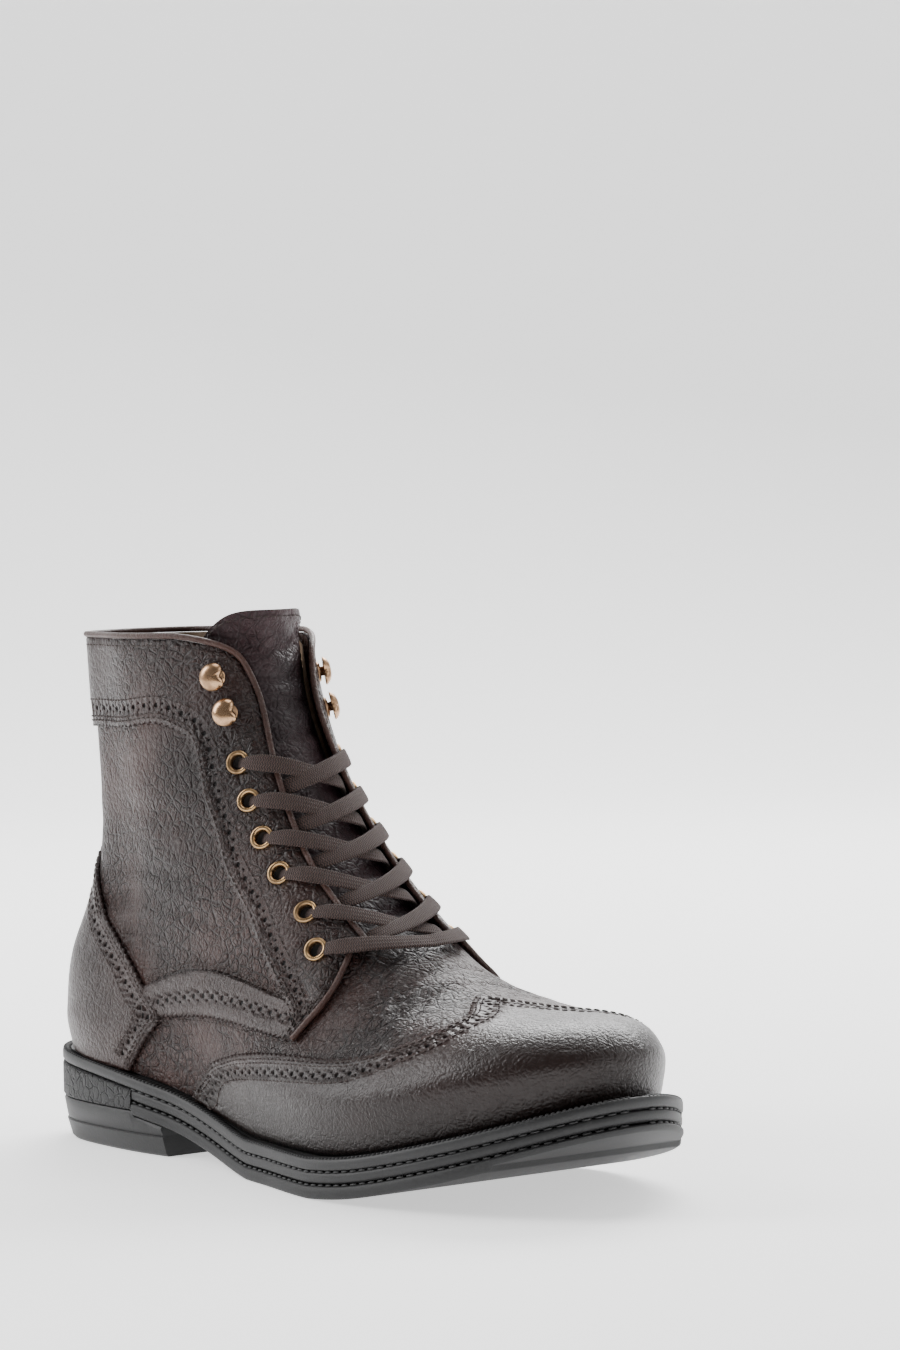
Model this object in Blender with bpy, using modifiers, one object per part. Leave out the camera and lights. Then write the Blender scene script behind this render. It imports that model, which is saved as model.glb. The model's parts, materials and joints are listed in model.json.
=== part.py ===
"""A brogue lace-up ankle boot for the right foot, built piece by piece as its maker joins it.

Metres. +X points to the toe, +Y to the inner side of the foot and +Z up. The floor is Z = 0.
Every leather piece comes from one surface: rows run from the sole to the collar, and an angle
runs round the foot, from the back seam at 0 to the front ridge at 180 degrees. Negative angles
are the outer side and positive ones the inner side.
"""

import math

import bmesh
import bpy
import numpy as np
from mathutils import Matrix, Vector

# Overall sizes
LENGTH = 0.305
BALL_WIDTH = 0.110
HEEL_WIDTH = 0.073
SHAFT_WIDTH = 0.060
SHAFT_DEPTH = 0.0935
COLLAR_HEIGHT = 0.180
THROAT_HEIGHT = 0.084
TOE_HEIGHT = 0.063
GAP = 0.0003
BED = 0.0006

# Sole sizes
WELT = 0.0043
MIDSOLE = 0.0041
OUTSOLE = 0.0045
HEEL_LIFT = 0.0195
TOE_SPRING = 0.025
HEEL_LENGTH = 0.0865
BAND_LENGTH = 0.0705
BAND_FOOT = 0.0152
HEEL_TAPER = 0.0032
TREAD_STEP = 0.0018
TREAD_STEP_BACK = 0.030
EDGE_ROUND = 0.0008
SOLE = WELT + MIDSOLE + OUTSOLE + 2 * GAP

# Upper sizes
WALL = 0.0022
OVERLAY = 0.0012
INSOLE = 0.0026
TONGUE = 0.0024
TONGUE_RISE = 0.010
TONGUE_HALF = 0.030
PIPING = 0.0010
FACING_GAP = 0.030

# Fittings
EYELET = 0.0043
EYELET_WIRE = 0.0009
EYELET_INSET = 0.0108
HOOK = 0.0050
HOOK_HEIGHT = 0.0046
LACE_WIDTH = 0.0060
LACE = 0.0012
ZIP_SLOT = 0.0100
ZIP_TAPE = 0.0008
ZIP_TAPE_WIDTH = 0.0220
ZIP_TEETH_WIDTH = 0.0056
ZIP_TEETH = 0.0018
ZIP_TOP_FORWARD = 0.0027
ZIP_FOOT_FORWARD = 0.0088
SLIDER_LENGTH = 0.0100
SLIDER_WIDTH = 0.0075
SLIDER_HEIGHT = 0.0032
PULL_LENGTH = 0.0140
PULL_WIDTH = 0.0070
PULL_WIRE = 0.0008
BAIL_HEIGHT = 0.0030
SLIDER_ROW = 0.955

# Outline of the sole: share of the length, then the outer and inner half width as shares of the
# local width, which grows from the heel's to the ball's.
OUTLINE = (
    (0.05, 0.377, 0.377),
    (0.12, 0.466, 0.466),
    (0.25, 0.493, 0.475),
    (0.40, 0.410, 0.318),
    (0.55, 0.441, 0.332),
    (0.65, 0.500, 0.445),
    (0.72, 0.500, 0.498),
    (0.80, 0.464, 0.487),
    (0.88, 0.386, 0.418),
    (0.95, 0.262, 0.276),
)

# How the sole rises: share of the length, share of the heel lift, share of the toe spring.
RISE = (
    (0.00, 1.00, 0.00),
    (0.13, 0.86, 0.00),
    (0.23, 0.69, 0.00),
    (0.31, 0.49, 0.00),
    (0.37, 0.30, 0.00),
    (0.43, 0.12, 0.00),
    (0.49, 0.00, 0.00),
    (0.65, 0.00, 0.00),
    (0.72, 0.00, 0.08),
    (0.80, 0.00, 0.27),
    (0.88, 0.00, 0.52),
    (0.95, 0.00, 0.79),
    (1.00, 0.00, 1.00),
)

# Rows of the upper in side view, from the sole to the collar. Back and front ends are shares of
# the length up to the throat, and of the shaft's depth above it. Levels are 0 at the sole, 1 at
# the toe box, 2 at the throat and 3 at the collar. Sag is how far the row follows the sole, and
# shift how far its front leans to the inner side, as a share of the ball's width.
ROWS = (
    # back, back level, front, front level, sag, shift
    (-0.4721, 0.00, 0.4640, 0.00, 1.00, 0.010),
    (-0.4770, 0.32, 0.4690, 0.42, 0.93, 0.010),
    (-0.4761, 0.49, 0.4610, 0.63, 0.82, 0.014),
    (-0.4748, 0.66, 0.4330, 0.85, 0.62, 0.024),
    (-0.4705, 0.90, 0.3508, 1.00, 0.35, 0.045),
    (-0.4607, 1.29, 0.2164, 1.21, 0.12, 0.045),
    (-0.4459, 1.76, 0.1090, 1.83, 0.00, 0.024),
    (-0.4279, 2.09, 0.0290, 2.17, 0.00, 0.009),
)
SHAFT_CENTRE = -0.2713
SHAFT_ROWS = (
    # back, back level, front, front level, both from the shaft's centre as shares of its depth
    (-0.4765, 2.34, 0.7219, 2.48),
    (-0.4840, 2.69, 0.5550, 2.79),
    (-0.5000, 3.00, 0.5000, 3.01),
)

# Half widths of each row at six stations from its back end to its front end. In the foot's rows
# the first three are shares of the heel's width and the others of the ball's. In the shaft's
# rows all are shares of the shaft's width.
STATIONS = (0.05, 0.20, 0.40, 0.60, 0.80, 0.95)
OUTER = (
    (0.349, 0.438, 0.456, 0.414, 0.418, 0.232),
    (0.370, 0.459, 0.479, 0.441, 0.441, 0.255),
    (0.373, 0.462, 0.486, 0.436, 0.436, 0.259),
    (0.367, 0.456, 0.486, 0.405, 0.386, 0.241),
    (0.356, 0.449, 0.479, 0.359, 0.336, 0.205),
    (0.332, 0.432, 0.459, 0.323, 0.309, 0.164),
    (0.295, 0.395, 0.445, 0.309, 0.295, 0.182),
    (0.263, 0.360, 0.418, 0.286, 0.264, 0.168),
    (0.292, 0.413, 0.488, 0.497, 0.433, 0.253),
    (0.293, 0.417, 0.488, 0.492, 0.410, 0.230),
    (0.300, 0.420, 0.495, 0.495, 0.405, 0.217),
)
INNER = (
    (0.349, 0.432, 0.342, 0.332, 0.418, 0.232),
    (0.370, 0.452, 0.397, 0.368, 0.432, 0.250),
    (0.373, 0.455, 0.425, 0.373, 0.427, 0.250),
    (0.367, 0.449, 0.445, 0.364, 0.382, 0.236),
    (0.356, 0.442, 0.452, 0.336, 0.336, 0.205),
    (0.332, 0.425, 0.445, 0.314, 0.305, 0.164),
    (0.295, 0.392, 0.436, 0.300, 0.291, 0.182),
    (0.263, 0.360, 0.415, 0.285, 0.264, 0.168),
    (0.292, 0.413, 0.488, 0.497, 0.433, 0.253),
    (0.293, 0.417, 0.488, 0.492, 0.410, 0.230),
    (0.300, 0.420, 0.495, 0.495, 0.405, 0.217),
)

# Half of the opening between the facings, as shares of the facing gap: row, share.
OPENING = (
    (0.00, 0.85),
    (0.35, 0.80),
    (0.60, 0.60),
    (0.66, 0.583),
    (0.72, 0.567),
    (0.78, 0.500),
    (0.84, 0.433),
    (0.90, 0.400),
    (0.945, 0.460),
    (0.975, 0.573),
    (0.990, 0.733),
    (1.000, 0.900),
)
THROAT_ROW = 0.60
ZIP_ROW = 0.54
BAND_BOTTOM = 0.885

# The rows of every mesh over the surface, so that facets lie along each other.
MESH_ROWS = (0, 0.04, 0.09, 0.15, 0.21, 0.27, 0.34, 0.41, 0.48, ZIP_ROW, 0.57, THROAT_ROW, 0.64,
             0.68, 0.72, 0.765, 0.825, BAND_BOTTOM, 0.93, 0.965, 0.987, 1.0)

# How fast a row over the collar climbs, in steps from the throat to the collar.
ABOVE_COLLAR = 2.1

# Edges of the panels, as rows and angles in degrees, the same on both sides of the foot.
QUARTER_FRONT = ((0.34, 104), (0.40, 111), (0.49, 128), (0.545, 140), (0.58, 149))
FACING_REAR = ((0.34, 101), (0.40, 106), (0.47, 111), (0.535, 116), (0.59, 119), (0.645, 121),
               (0.725, 119), (0.80, 119), (0.88, 119))
COUNTER_EDGE = ((0.0, 53), (0.11, 58), (0.215, 61), (0.31, 64), (0.39, 62.5), (0.505, 60.5),
                (0.575, 56), (0.63, 49), (0.68, 42), (0.72, 34))
COUNTER_TOP = ((0, 0.765), (14, 0.763), (25, 0.747), (34, 0.720))
STRIP_TOP = ((64, 0.395), (69, 0.440), (79, 0.480), (89, 0.505), (97, 0.505), (106, 0.480),
             (111, 0.455))
STRIP_BOTTOM = ((64, 0.285), (70, 0.325), (77, 0.350), (84, 0.363), (91, 0.363), (98, 0.352),
                (105, 0.338))
WING_EDGE = ((0, 0.475), (7, 0.455), (17, 0.410), (26, 0.375), (33, 0.348), (41, 0.322),
             (50, 0.298), (60, 0.294), (66, 0.293), (74, 0.288), (81, 0.270), (88, 0.228),
             (94, 0.130), (98, 0.040))
WING_TIP = -170
EYELET_ROWS = (0.830, 0.790, 0.750, 0.708, 0.650, 0.582)
HOOK_ROWS = (0.935, 0.885)


# The curves that every piece is worked out from

def weights(knots, at):
    """How much each knot's value counts at the given places on a natural cubic spline."""
    knots = np.asarray(knots, float)
    at = np.atleast_1d(np.asarray(at, float))
    size = len(knots)
    step = np.diff(knots)
    matrix = np.eye(size)
    change = np.zeros((size, size))
    for i in range(1, size - 1):
        before = step[i - 1]
        after = step[i]
        matrix[i, i - 1 : i + 2] = before, 2 * (before + after), after
        change[i, i - 1 : i + 2] = 6 / before, -6 / before - 6 / after, 6 / after
    bend = np.linalg.solve(matrix, change)
    low = np.clip(np.searchsorted(knots, at) - 1, 0, size - 2)
    width = step[low]
    b = (at - knots[low]) / width
    a = 1 - b
    unit = np.eye(size)
    found = a[:, None] * unit[low] + b[:, None] * unit[low + 1]
    found += ((a**3 - a) * width**2 / 6)[:, None] * bend[low]
    found += ((b**3 - b) * width**2 / 6)[:, None] * bend[low + 1]
    return found


def through(table, at):
    """A smooth curve through a table's two columns, held level beyond its ends."""
    table = np.asarray(table, float)
    at = np.clip(np.atleast_1d(np.asarray(at, float)), table[0, 0], table[-1, 0])
    return weights(table[:, 0], at) @ table[:, 1]


def ease(low, high, at):
    """0 below low, 1 above high and smooth between them."""
    at = np.clip((np.asarray(at, float) - low) / (high - low), 0, 1)
    return at * at * (3 - 2 * at)


def sole_half(share, side):
    """Half width of the sole at a share of its length, on the outer (-1) or inner (1) side."""
    table = np.array(OUTLINE)
    share = np.clip(np.atleast_1d(np.asarray(share, float)), 0, 1)
    rounding = np.sqrt(table[:, 0] * (1 - table[:, 0]))
    local = HEEL_WIDTH + (BALL_WIDTH - HEEL_WIDTH) * ease(0.28, 0.52, share)
    column = table[:, 1] if side < 0 else table[:, 2]
    return weights(table[:, 0], share) @ (column / rounding) * local * np.sqrt(share * (1 - share))


def sole_top(x):
    """Height of the welt's top at x."""
    table = np.array(RISE)
    found = weights(table[:, 0], np.asarray(x) / LENGTH + 0.5)
    heel = np.maximum(found @ table[:, 1], 0)
    toe = np.maximum(found @ table[:, 2], 0)
    return heel * HEEL_LIFT + toe * TOE_SPRING + SOLE


FEATHER = float(sole_top(-0.5 * LENGTH)[0])
ROW_AT = np.linspace(0, 1, len(ROWS) + len(SHAFT_ROWS))


def height(level):
    """Height of a level between the sole, the toe box, the throat and the collar."""
    level = np.asarray(level, float)
    named = np.interp(level, (0, 1, 2, 3), (FEATHER, TOE_HEIGHT, THROAT_HEIGHT, COLLAR_HEIGHT))
    return named + np.maximum(level - 3, 0) * (COLLAR_HEIGHT - THROAT_HEIGHT)


def row_table():
    """Each control row's back x and z, front x and z, sag and shift, in metres."""
    rows = []
    for back, back_level, front, front_level, sag, shift in ROWS:
        ends = back * LENGTH, float(height(back_level)), front * LENGTH, float(height(front_level))
        rows.append((*ends, sag, shift * BALL_WIDTH))
    for back, back_level, front, front_level in SHAFT_ROWS:
        centre = SHAFT_CENTRE * LENGTH
        back_x = centre + back * SHAFT_DEPTH
        front_x = centre + front * SHAFT_DEPTH
        rows.append((back_x, float(height(back_level)), front_x, float(height(front_level)), 0, 0))
    return np.array(rows)


def width_table(shares):
    """A side's half widths at the stations, each divided by the round end's share of it."""
    stations = np.array(STATIONS)
    foot = np.where(stations < 0.5, HEEL_WIDTH, BALL_WIDTH)
    shaft = np.full(len(stations), SHAFT_WIDTH)
    local = np.array([foot] * len(ROWS) + [shaft] * len(SHAFT_ROWS))
    return np.array(shares) * local / np.sqrt(stations * (1 - stations))


ROW_TABLE = row_table()
OUTER_TABLE = width_table(OUTER)
INNER_TABLE = width_table(INNER)


def surface(row, angle):
    """Points of the upper's outer face at the given rows and angles in radians."""
    row, angle = np.broadcast_arrays(np.asarray(row, float), np.asarray(angle, float))
    shape = row.shape
    row = row.ravel()
    angle = (angle.ravel() + math.pi) % (2 * math.pi) - math.pi
    share = (1 - np.cos(angle)) / 2
    inside = np.minimum(row, 1)
    by_row = weights(ROW_AT, inside)
    back_x, back_z, front_x, front_z, sag, shift = (by_row @ ROW_TABLE).T
    x = back_x + (front_x - back_x) * share
    z = back_z + (front_z - back_z) * share + sag * (sole_top(x) + 2 * GAP - FEATHER)
    by_share = weights(STATIONS, share)
    outer = np.einsum("ni,ij,nj->n", by_row, OUTER_TABLE, by_share)
    inner = np.einsum("ni,ij,nj->n", by_row, INNER_TABLE, by_share)
    y = shift * share**2 + np.sin(angle) / 2 * np.where(angle < 0, outer, inner)
    # Above the collar a piece goes straight on, leaning forward with the shaft's front.
    over = row - inside
    z = z + over * (COLLAR_HEIGHT - THROAT_HEIGHT) * ABOVE_COLLAR
    x = x + over * SHAFT_DEPTH * 0.6
    return np.stack([x, y, z], -1).reshape(shape + (3,))


def normal(row, angle):
    """The upper's outward directions."""
    step = 1e-3
    row = np.clip(np.asarray(row, float), step, 1 - step)
    up = surface(row + step, angle) - surface(row - step, angle)
    round_foot = surface(row, np.asarray(angle) + step) - surface(row, np.asarray(angle) - step)
    across = np.cross(up, round_foot)
    return across / np.linalg.norm(across, axis=-1, keepdims=True)


def lifted(row, angle, lift):
    """Points at a height over the upper's outer face."""
    return surface(row, angle) + normal(row, angle) * np.asarray(lift, float)[..., None]


def angle_at_x(row, x):
    """The angle at which a row passes x."""
    back_x, _, front_x, _, _, _ = (weights(ROW_AT, row) @ ROW_TABLE).T
    share = np.clip((x - back_x) / (front_x - back_x), 0, 1)
    return np.arccos(1 - 2 * share)


def opening_angle(row, side, less=0.0):
    """The angle of a facing's front edge, where the upper is as wide as the opening, or less."""
    half = through(OPENING, row) * FACING_GAP - less
    low = np.full(len(half), math.radians(95))
    high = np.full(len(half), math.pi)
    for _ in range(40):
        middle = (low + high) / 2
        wide = np.abs(surface(row, side * middle)[:, 1] - surface(row, middle * 0 + math.pi)[:, 1])
        low = np.where(wide > half, middle, low)
        high = np.where(wide > half, high, middle)
    return low


def facing_front(row, side):
    """The front edge of a facing and, below the throat, of the quarter."""
    row = np.atleast_1d(np.asarray(row, float))
    quarter = np.radians(through(QUARTER_FRONT, row))
    return np.where(row < 0.585, quarter, opening_angle(row, side))


def zip_edge(row, offset):
    """The angle of the zip's line on the inner side, moved forward by an offset."""
    row = np.atleast_1d(np.asarray(row, float))
    forward = ZIP_FOOT_FORWARD + (ZIP_TOP_FORWARD - ZIP_FOOT_FORWARD) * ease(ZIP_ROW, 1, row)
    return angle_at_x(row, SHAFT_CENTRE * LENGTH + forward + offset)


def turning():
    """How far a walk round the foot has turned, and gone, at each degree."""
    angles = np.radians(np.arange(-540, 541, 1.0))
    places = surface(np.full(len(angles), 0.3), angles)[:, :2]
    step = np.diff(places, axis=0)
    heading = np.unwrap(np.arctan2(step[:, 1], step[:, 0]))
    turned = np.concatenate([[0], np.cumsum(np.abs(np.diff(heading))), [0]])
    turned[-1] = turned[-2]
    gone = np.concatenate([[0], np.cumsum(np.linalg.norm(step, axis=1))])
    return angles, turned + gone / BALL_WIDTH


WALK_ANGLES, WALK = turning()


def spread(start, end, count):
    """Angles from start to end, closer together where the foot turns sharply."""
    ends = np.interp((start, end), WALK_ANGLES, WALK)
    return np.interp(np.linspace(ends[0], ends[1], count), WALK, WALK_ANGLES)


def angle_off(row, angle, side, distance):
    """The angle at a distance back round the surface from the given one."""
    angles = angle - np.radians(np.arange(0, 100, 0.5))
    places = surface(np.full(len(angles), float(row)), side * angles)
    gone = np.linalg.norm(np.diff(places, axis=0), axis=1)
    return float(np.interp(distance, np.concatenate([[0], np.cumsum(gone)]), angles))


# Meshes, materials and objects

def clear_scene():
    for old in list(bpy.data.objects):
        bpy.data.objects.remove(old, do_unlink=True)


def collection(name):
    made = bpy.data.collections.new(name)
    bpy.context.scene.collection.children.link(made)
    return made


def look(name, colour, roughness, metallic=0.0):
    """A material with a plain Principled surface."""
    made = bpy.data.materials.new(name)
    made.use_nodes = True
    surface_node = made.node_tree.nodes["Principled BSDF"]
    surface_node.inputs["Base Color"].default_value = (*colour, 1)
    surface_node.inputs["Roughness"].default_value = roughness
    surface_node.inputs["Metallic"].default_value = metallic
    return made


def add_object(name, mesh, material):
    made = bpy.data.objects.new(name, mesh)
    mesh.materials.clear()
    mesh.materials.append(material)
    mesh.shade_smooth()
    PARTS.objects.link(made)
    return made


def weld(mesh):
    work = bmesh.new()
    work.from_mesh(mesh)
    bmesh.ops.remove_doubles(work, verts=work.verts, dist=2e-6)
    loose = [vertex for vertex in work.verts if not vertex.link_faces]
    bmesh.ops.delete(work, geom=loose, context="VERTS")
    work.to_mesh(mesh)
    work.free()


def shell(name, points, thickness, material, holes=()):
    """A sheet over a grid of points of its outer face, thickened inwards."""
    rows, columns = points.shape[:2]
    faces = []
    for i in range(rows - 1):
        for j in range(columns - 1):
            if (i, j) in holes:
                continue
            corner = i * columns + j
            faces.append((corner, corner + columns, corner + columns + 1, corner + 1))
    mesh = bpy.data.meshes.new(name)
    mesh.from_pydata(points.reshape(-1, 3).tolist(), [], faces)
    weld(mesh)
    made = add_object(name, mesh, material)
    solid = made.modifiers.new("thickness", "SOLIDIFY")
    solid.thickness = thickness
    solid.offset = -1
    solid.use_even_offset = True
    return made


def plate(name, levels, material):
    """A solid between outlines stacked from top to bottom, each an outer and an inner edge."""
    count = len(levels[0][0])
    points = []
    for outer, inner in levels:
        points += [tuple(p) for p in outer] + [tuple(p) for p in inner]
    faces = []
    for k in range(len(levels) - 1):
        here = 2 * count * k
        below = here + 2 * count
        for i in range(count - 1):
            faces.append((here + i, here + i + 1, below + i + 1, below + i))
            far = here + count + i
            faces.append((far, below + count + i, below + count + i + 1, far + 1))
        faces.append((here, below, below + count, here + count))
        end = count - 1
        faces.append((here + end, here + count + end, below + count + end, below + end))
    for here in (0, 2 * count * (len(levels) - 1)):
        for i in range(count - 1):
            faces.append((here + i, here + i + 1, here + count + i + 1, here + count + i))
    mesh = bpy.data.meshes.new(name)
    mesh.from_pydata(points, [], faces)
    work = bmesh.new()
    work.from_mesh(mesh)
    bmesh.ops.remove_doubles(work, verts=work.verts, dist=2e-6)
    bmesh.ops.dissolve_degenerate(work, dist=1e-7, edges=work.edges)
    bmesh.ops.triangulate(work, faces=work.faces)
    bmesh.ops.recalc_face_normals(work, faces=work.faces)
    work.to_mesh(mesh)
    work.free()
    return add_object(name, mesh, material)


def tube(name, points, radius, material, closed=False, sides=1):
    """A round cord through a line of points, with filled ends."""
    curve = bpy.data.curves.new(name, "CURVE")
    curve.dimensions = "3D"
    curve.bevel_depth = radius
    curve.bevel_resolution = sides
    curve.use_fill_caps = True
    line = curve.splines.new("POLY")
    line.points.add(len(points) - 1)
    for spot, place in zip(line.points, points):
        spot.co = (*place, 1)
    line.use_cyclic_u = closed
    made = bpy.data.objects.new(name, curve)
    curve.materials.append(material)
    PARTS.objects.link(made)
    return made


def frame_at(row, angle, lift):
    """A place over the upper, with X up the shaft, Y round it and Z outwards."""
    spot = Vector(lifted(row, angle, np.array(lift)).reshape(3))
    out = Vector(normal(row, angle).reshape(3))
    up = Vector((surface(row + 0.01, angle) - surface(row, angle)).reshape(3))
    up = (up - out * up.dot(out)).normalized()
    side = out.cross(up)
    turned = Matrix((up, side, out)).transposed().to_4x4()
    return Matrix.Translation(spot) @ turned


# The sole

def outline(inset, back=-0.5, front=0.5, extra=(), count=30):
    """Outer and inner edge of the sole between two shares of the length, moved inwards."""
    angles = np.linspace(math.acos(-2 * back), math.acos(-2 * front), count)
    angles = np.sort(np.concatenate([angles, [math.acos(-2 * share) for share in extra]]))
    share = 0.5 - np.cos(angles) / 2
    near = 0.5 - np.cos(np.clip(angles + 1e-3, 0, math.pi)) / 2
    past = 0.5 - np.cos(np.clip(angles - 1e-3, 0, math.pi)) / 2
    tip = np.isclose(share, 0) | np.isclose(share, 1)
    edges = []
    for side in (-1, 1):
        dx = (near - past) * LENGTH
        dy = side * (sole_half(near, side) - sole_half(past, side))
        size = np.hypot(dx, dy)
        x = (share - 0.5) * LENGTH + side * dy / size * inset
        y = side * (sole_half(share, side) - dx / size * inset)
        x[tip] = (share[tip] - 0.5) * (LENGTH - 2 * inset)
        y[tip] = 0
        edges.append((x, y))
    return edges


def with_height(edges, height_at):
    """The edges' points at the heights that a function gives for x."""
    return [np.stack([x, y, height_at(x)], -1) for x, y in edges]


def layer(name, above, thickness, material, back=-0.5, step=0):
    """One layer of the sole, whose top lies a distance below the welt's top."""
    start = 0.5 * LENGTH - TREAD_STEP_BACK
    extra = (start / LENGTH - 0.001, start / LENGTH + 0.001) if step else ()

    def at(depth, cut=0):
        return lambda x: sole_top(x) - above - depth + cut * (x > start)

    depths = (
        (EDGE_ROUND, at(0)),
        (0, at(EDGE_ROUND)),
        (0, at(thickness - EDGE_ROUND, step)),
        (EDGE_ROUND, at(thickness, step)),
    )
    levels = [with_height(outline(inset, back, 0.5, extra), place) for inset, place in depths]
    return plate(name, levels, material)


def build_sole():
    """The sole's layers from the welt down to the heel."""
    rubber = look("sole_rubber", (0.020, 0.020, 0.021), 0.55)
    lip = look("welt_rubber", (0.024, 0.024, 0.025), 0.60)
    tread = look("outsole_rubber", (0.016, 0.016, 0.017), 0.60)
    band = look("heel_band_rubber", (0.018, 0.018, 0.018), 0.70)
    block = look("heel_rubber", (0.015, 0.015, 0.016), 0.50)
    band_end = BAND_LENGTH / LENGTH - 0.5
    breast = HEEL_LENGTH / LENGTH - 0.5
    gap = GAP / LENGTH
    layer("welt", 0, WELT, lip)
    layer("midsole", WELT + GAP, MIDSOLE, rubber, back=band_end)
    layer("outsole", WELT + MIDSOLE + 2 * GAP, OUTSOLE, tread, back=band_end, step=TREAD_STEP)

    def band_top(x):
        return sole_top(x) - WELT - GAP

    def block_top(x):
        return np.where(x < band_end * LENGTH - GAP / 2, BAND_FOOT, sole_top(x) - SOLE) - GAP

    band_levels = (
        (EDGE_ROUND, band_top),
        (0, lambda x: band_top(x) - EDGE_ROUND),
        (0, lambda x: 0 * x + BAND_FOOT + EDGE_ROUND),
        (EDGE_ROUND, lambda x: 0 * x + BAND_FOOT),
    )
    levels = [with_height(outline(i, -0.5, band_end - gap, count=15), z) for i, z in band_levels]
    plate("heel_band", levels, band)
    block_levels = (
        (EDGE_ROUND, block_top),
        (EDGE_ROUND / 2, lambda x: block_top(x) - EDGE_ROUND),
        (HEEL_TAPER, lambda x: 0 * x + EDGE_ROUND),
        (HEEL_TAPER + EDGE_ROUND, lambda x: 0 * x),
    )
    extra = (band_end - gap, band_end)
    levels = [with_height(outline(i, -0.5, breast, extra, 17), z) for i, z in block_levels]
    plate("heel", levels, block)


# The upper and what lies inside it

# Steps of the upper's columns: the front, the outer side, the back up to the zip, the inner side.
FRONT_STEPS = 4
OUTER_STEPS = 15
BACK_STEPS = 7
INNER_STEPS = 8


def upper_angles(row):
    """The angles of the upper's columns at a row, from the front ridge round the outer side."""
    row = max(row, 0.5)
    outer = float(opening_angle([row], -1)[0])
    inner = float(opening_angle([row], 1)[0])
    rear = float(zip_edge(row, -ZIP_SLOT / 2)[0])
    front = float(zip_edge(row, ZIP_SLOT / 2)[0])
    parts = (
        np.linspace(-math.pi, -outer, FRONT_STEPS + 1)[:-1],
        spread(-outer, 0, OUTER_STEPS + 1)[:-1],
        spread(0, rear, BACK_STEPS + 1),
        spread(front, inner, INNER_STEPS + 1)[:-1],
        np.linspace(inner, math.pi, FRONT_STEPS + 1),
    )
    return np.concatenate(parts)


def build_upper():
    """The hollow upper: open at the collar, the throat, the zip's slot and underneath."""
    points = np.array([surface(row, upper_angles(row)) for row in MESH_ROWS])
    columns = points.shape[1] - 1
    rows = range(MESH_ROWS.index(THROAT_ROW), len(MESH_ROWS) - 1)
    holes = {(i, j) for i in rows for j in range(FRONT_STEPS)}
    holes |= {(i, columns - 1 - j) for i in rows for j in range(FRONT_STEPS)}
    rows = range(MESH_ROWS.index(ZIP_ROW), len(MESH_ROWS) - 1)
    holes |= {(i, FRONT_STEPS + OUTER_STEPS + BACK_STEPS) for i in rows}
    leather = look("grained_leather", (0.052, 0.036, 0.030), 0.42)
    shell("upper", points, WALL, leather, holes)


def build_insole():
    """A thin board inside the upper, on the welt."""
    lining = look("insole_leather", (0.16, 0.10, 0.065), 0.60)
    angles = spread(0, math.pi, 25)
    edges = []
    for side in (-1, 1):
        places = surface(0, side * angles)
        out = normal(0, side * angles)
        flat = out[:, :2] / np.linalg.norm(out[:, :2], axis=1, keepdims=True)
        edge = places[:, :2] - flat * (WALL * 1.3 + 3 * GAP)
        edges.append((edge[:, 0], edge[:, 1]))
    for end in (0, -1):
        middle = (edges[0][1][end] + edges[1][1][end]) / 2
        edges[0][1][end] = middle
        edges[1][1][end] = middle
    top = with_height(edges, lambda x: sole_top(x) + 2 * GAP + INSOLE)
    bottom = with_height(edges, lambda x: sole_top(x) + 2 * GAP)
    plate("insole", [top, bottom], lining)


def build_tongue():
    """A padded tongue under both facings, rising over the collar."""
    leather = look("tongue_leather", (0.055, 0.032, 0.034), 0.50)
    low = THROAT_ROW - 0.03
    over = TONGUE_RISE / ((COLLAR_HEIGHT - THROAT_HEIGHT) * ABOVE_COLLAR)
    across = np.linspace(-1, 1, 9)
    points = []
    for share in np.linspace(0, 1, 11):
        line = []
        for place in across:
            top = 1 + over * (1 - 0.95 * abs(place) ** 2.4)
            row = low + (top - low) * share
            half = TONGUE_HALF * (0.72 + 0.28 * ease(0, 0.5, share))
            side = -1 if place < 0 else 1
            angle = side * angle_off(min(row, 1), math.pi, side, half * abs(place))
            line.append(lifted(row, angle, np.array(-WALL - 4 * GAP)).reshape(3))
        points.append(line[::-1])
    shell("tongue", np.array(points), TONGUE, leather)


# Leather laid over the upper

def overlay(name, rows, angles, material, holes=()):
    """A panel over the upper. Rows and angles are arrays, upwards and round to the inner side."""
    points = lifted(rows, angles, np.full(np.shape(rows), BED + OVERLAY))
    return shell(name, points, OVERLAY, material, holes)


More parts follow.
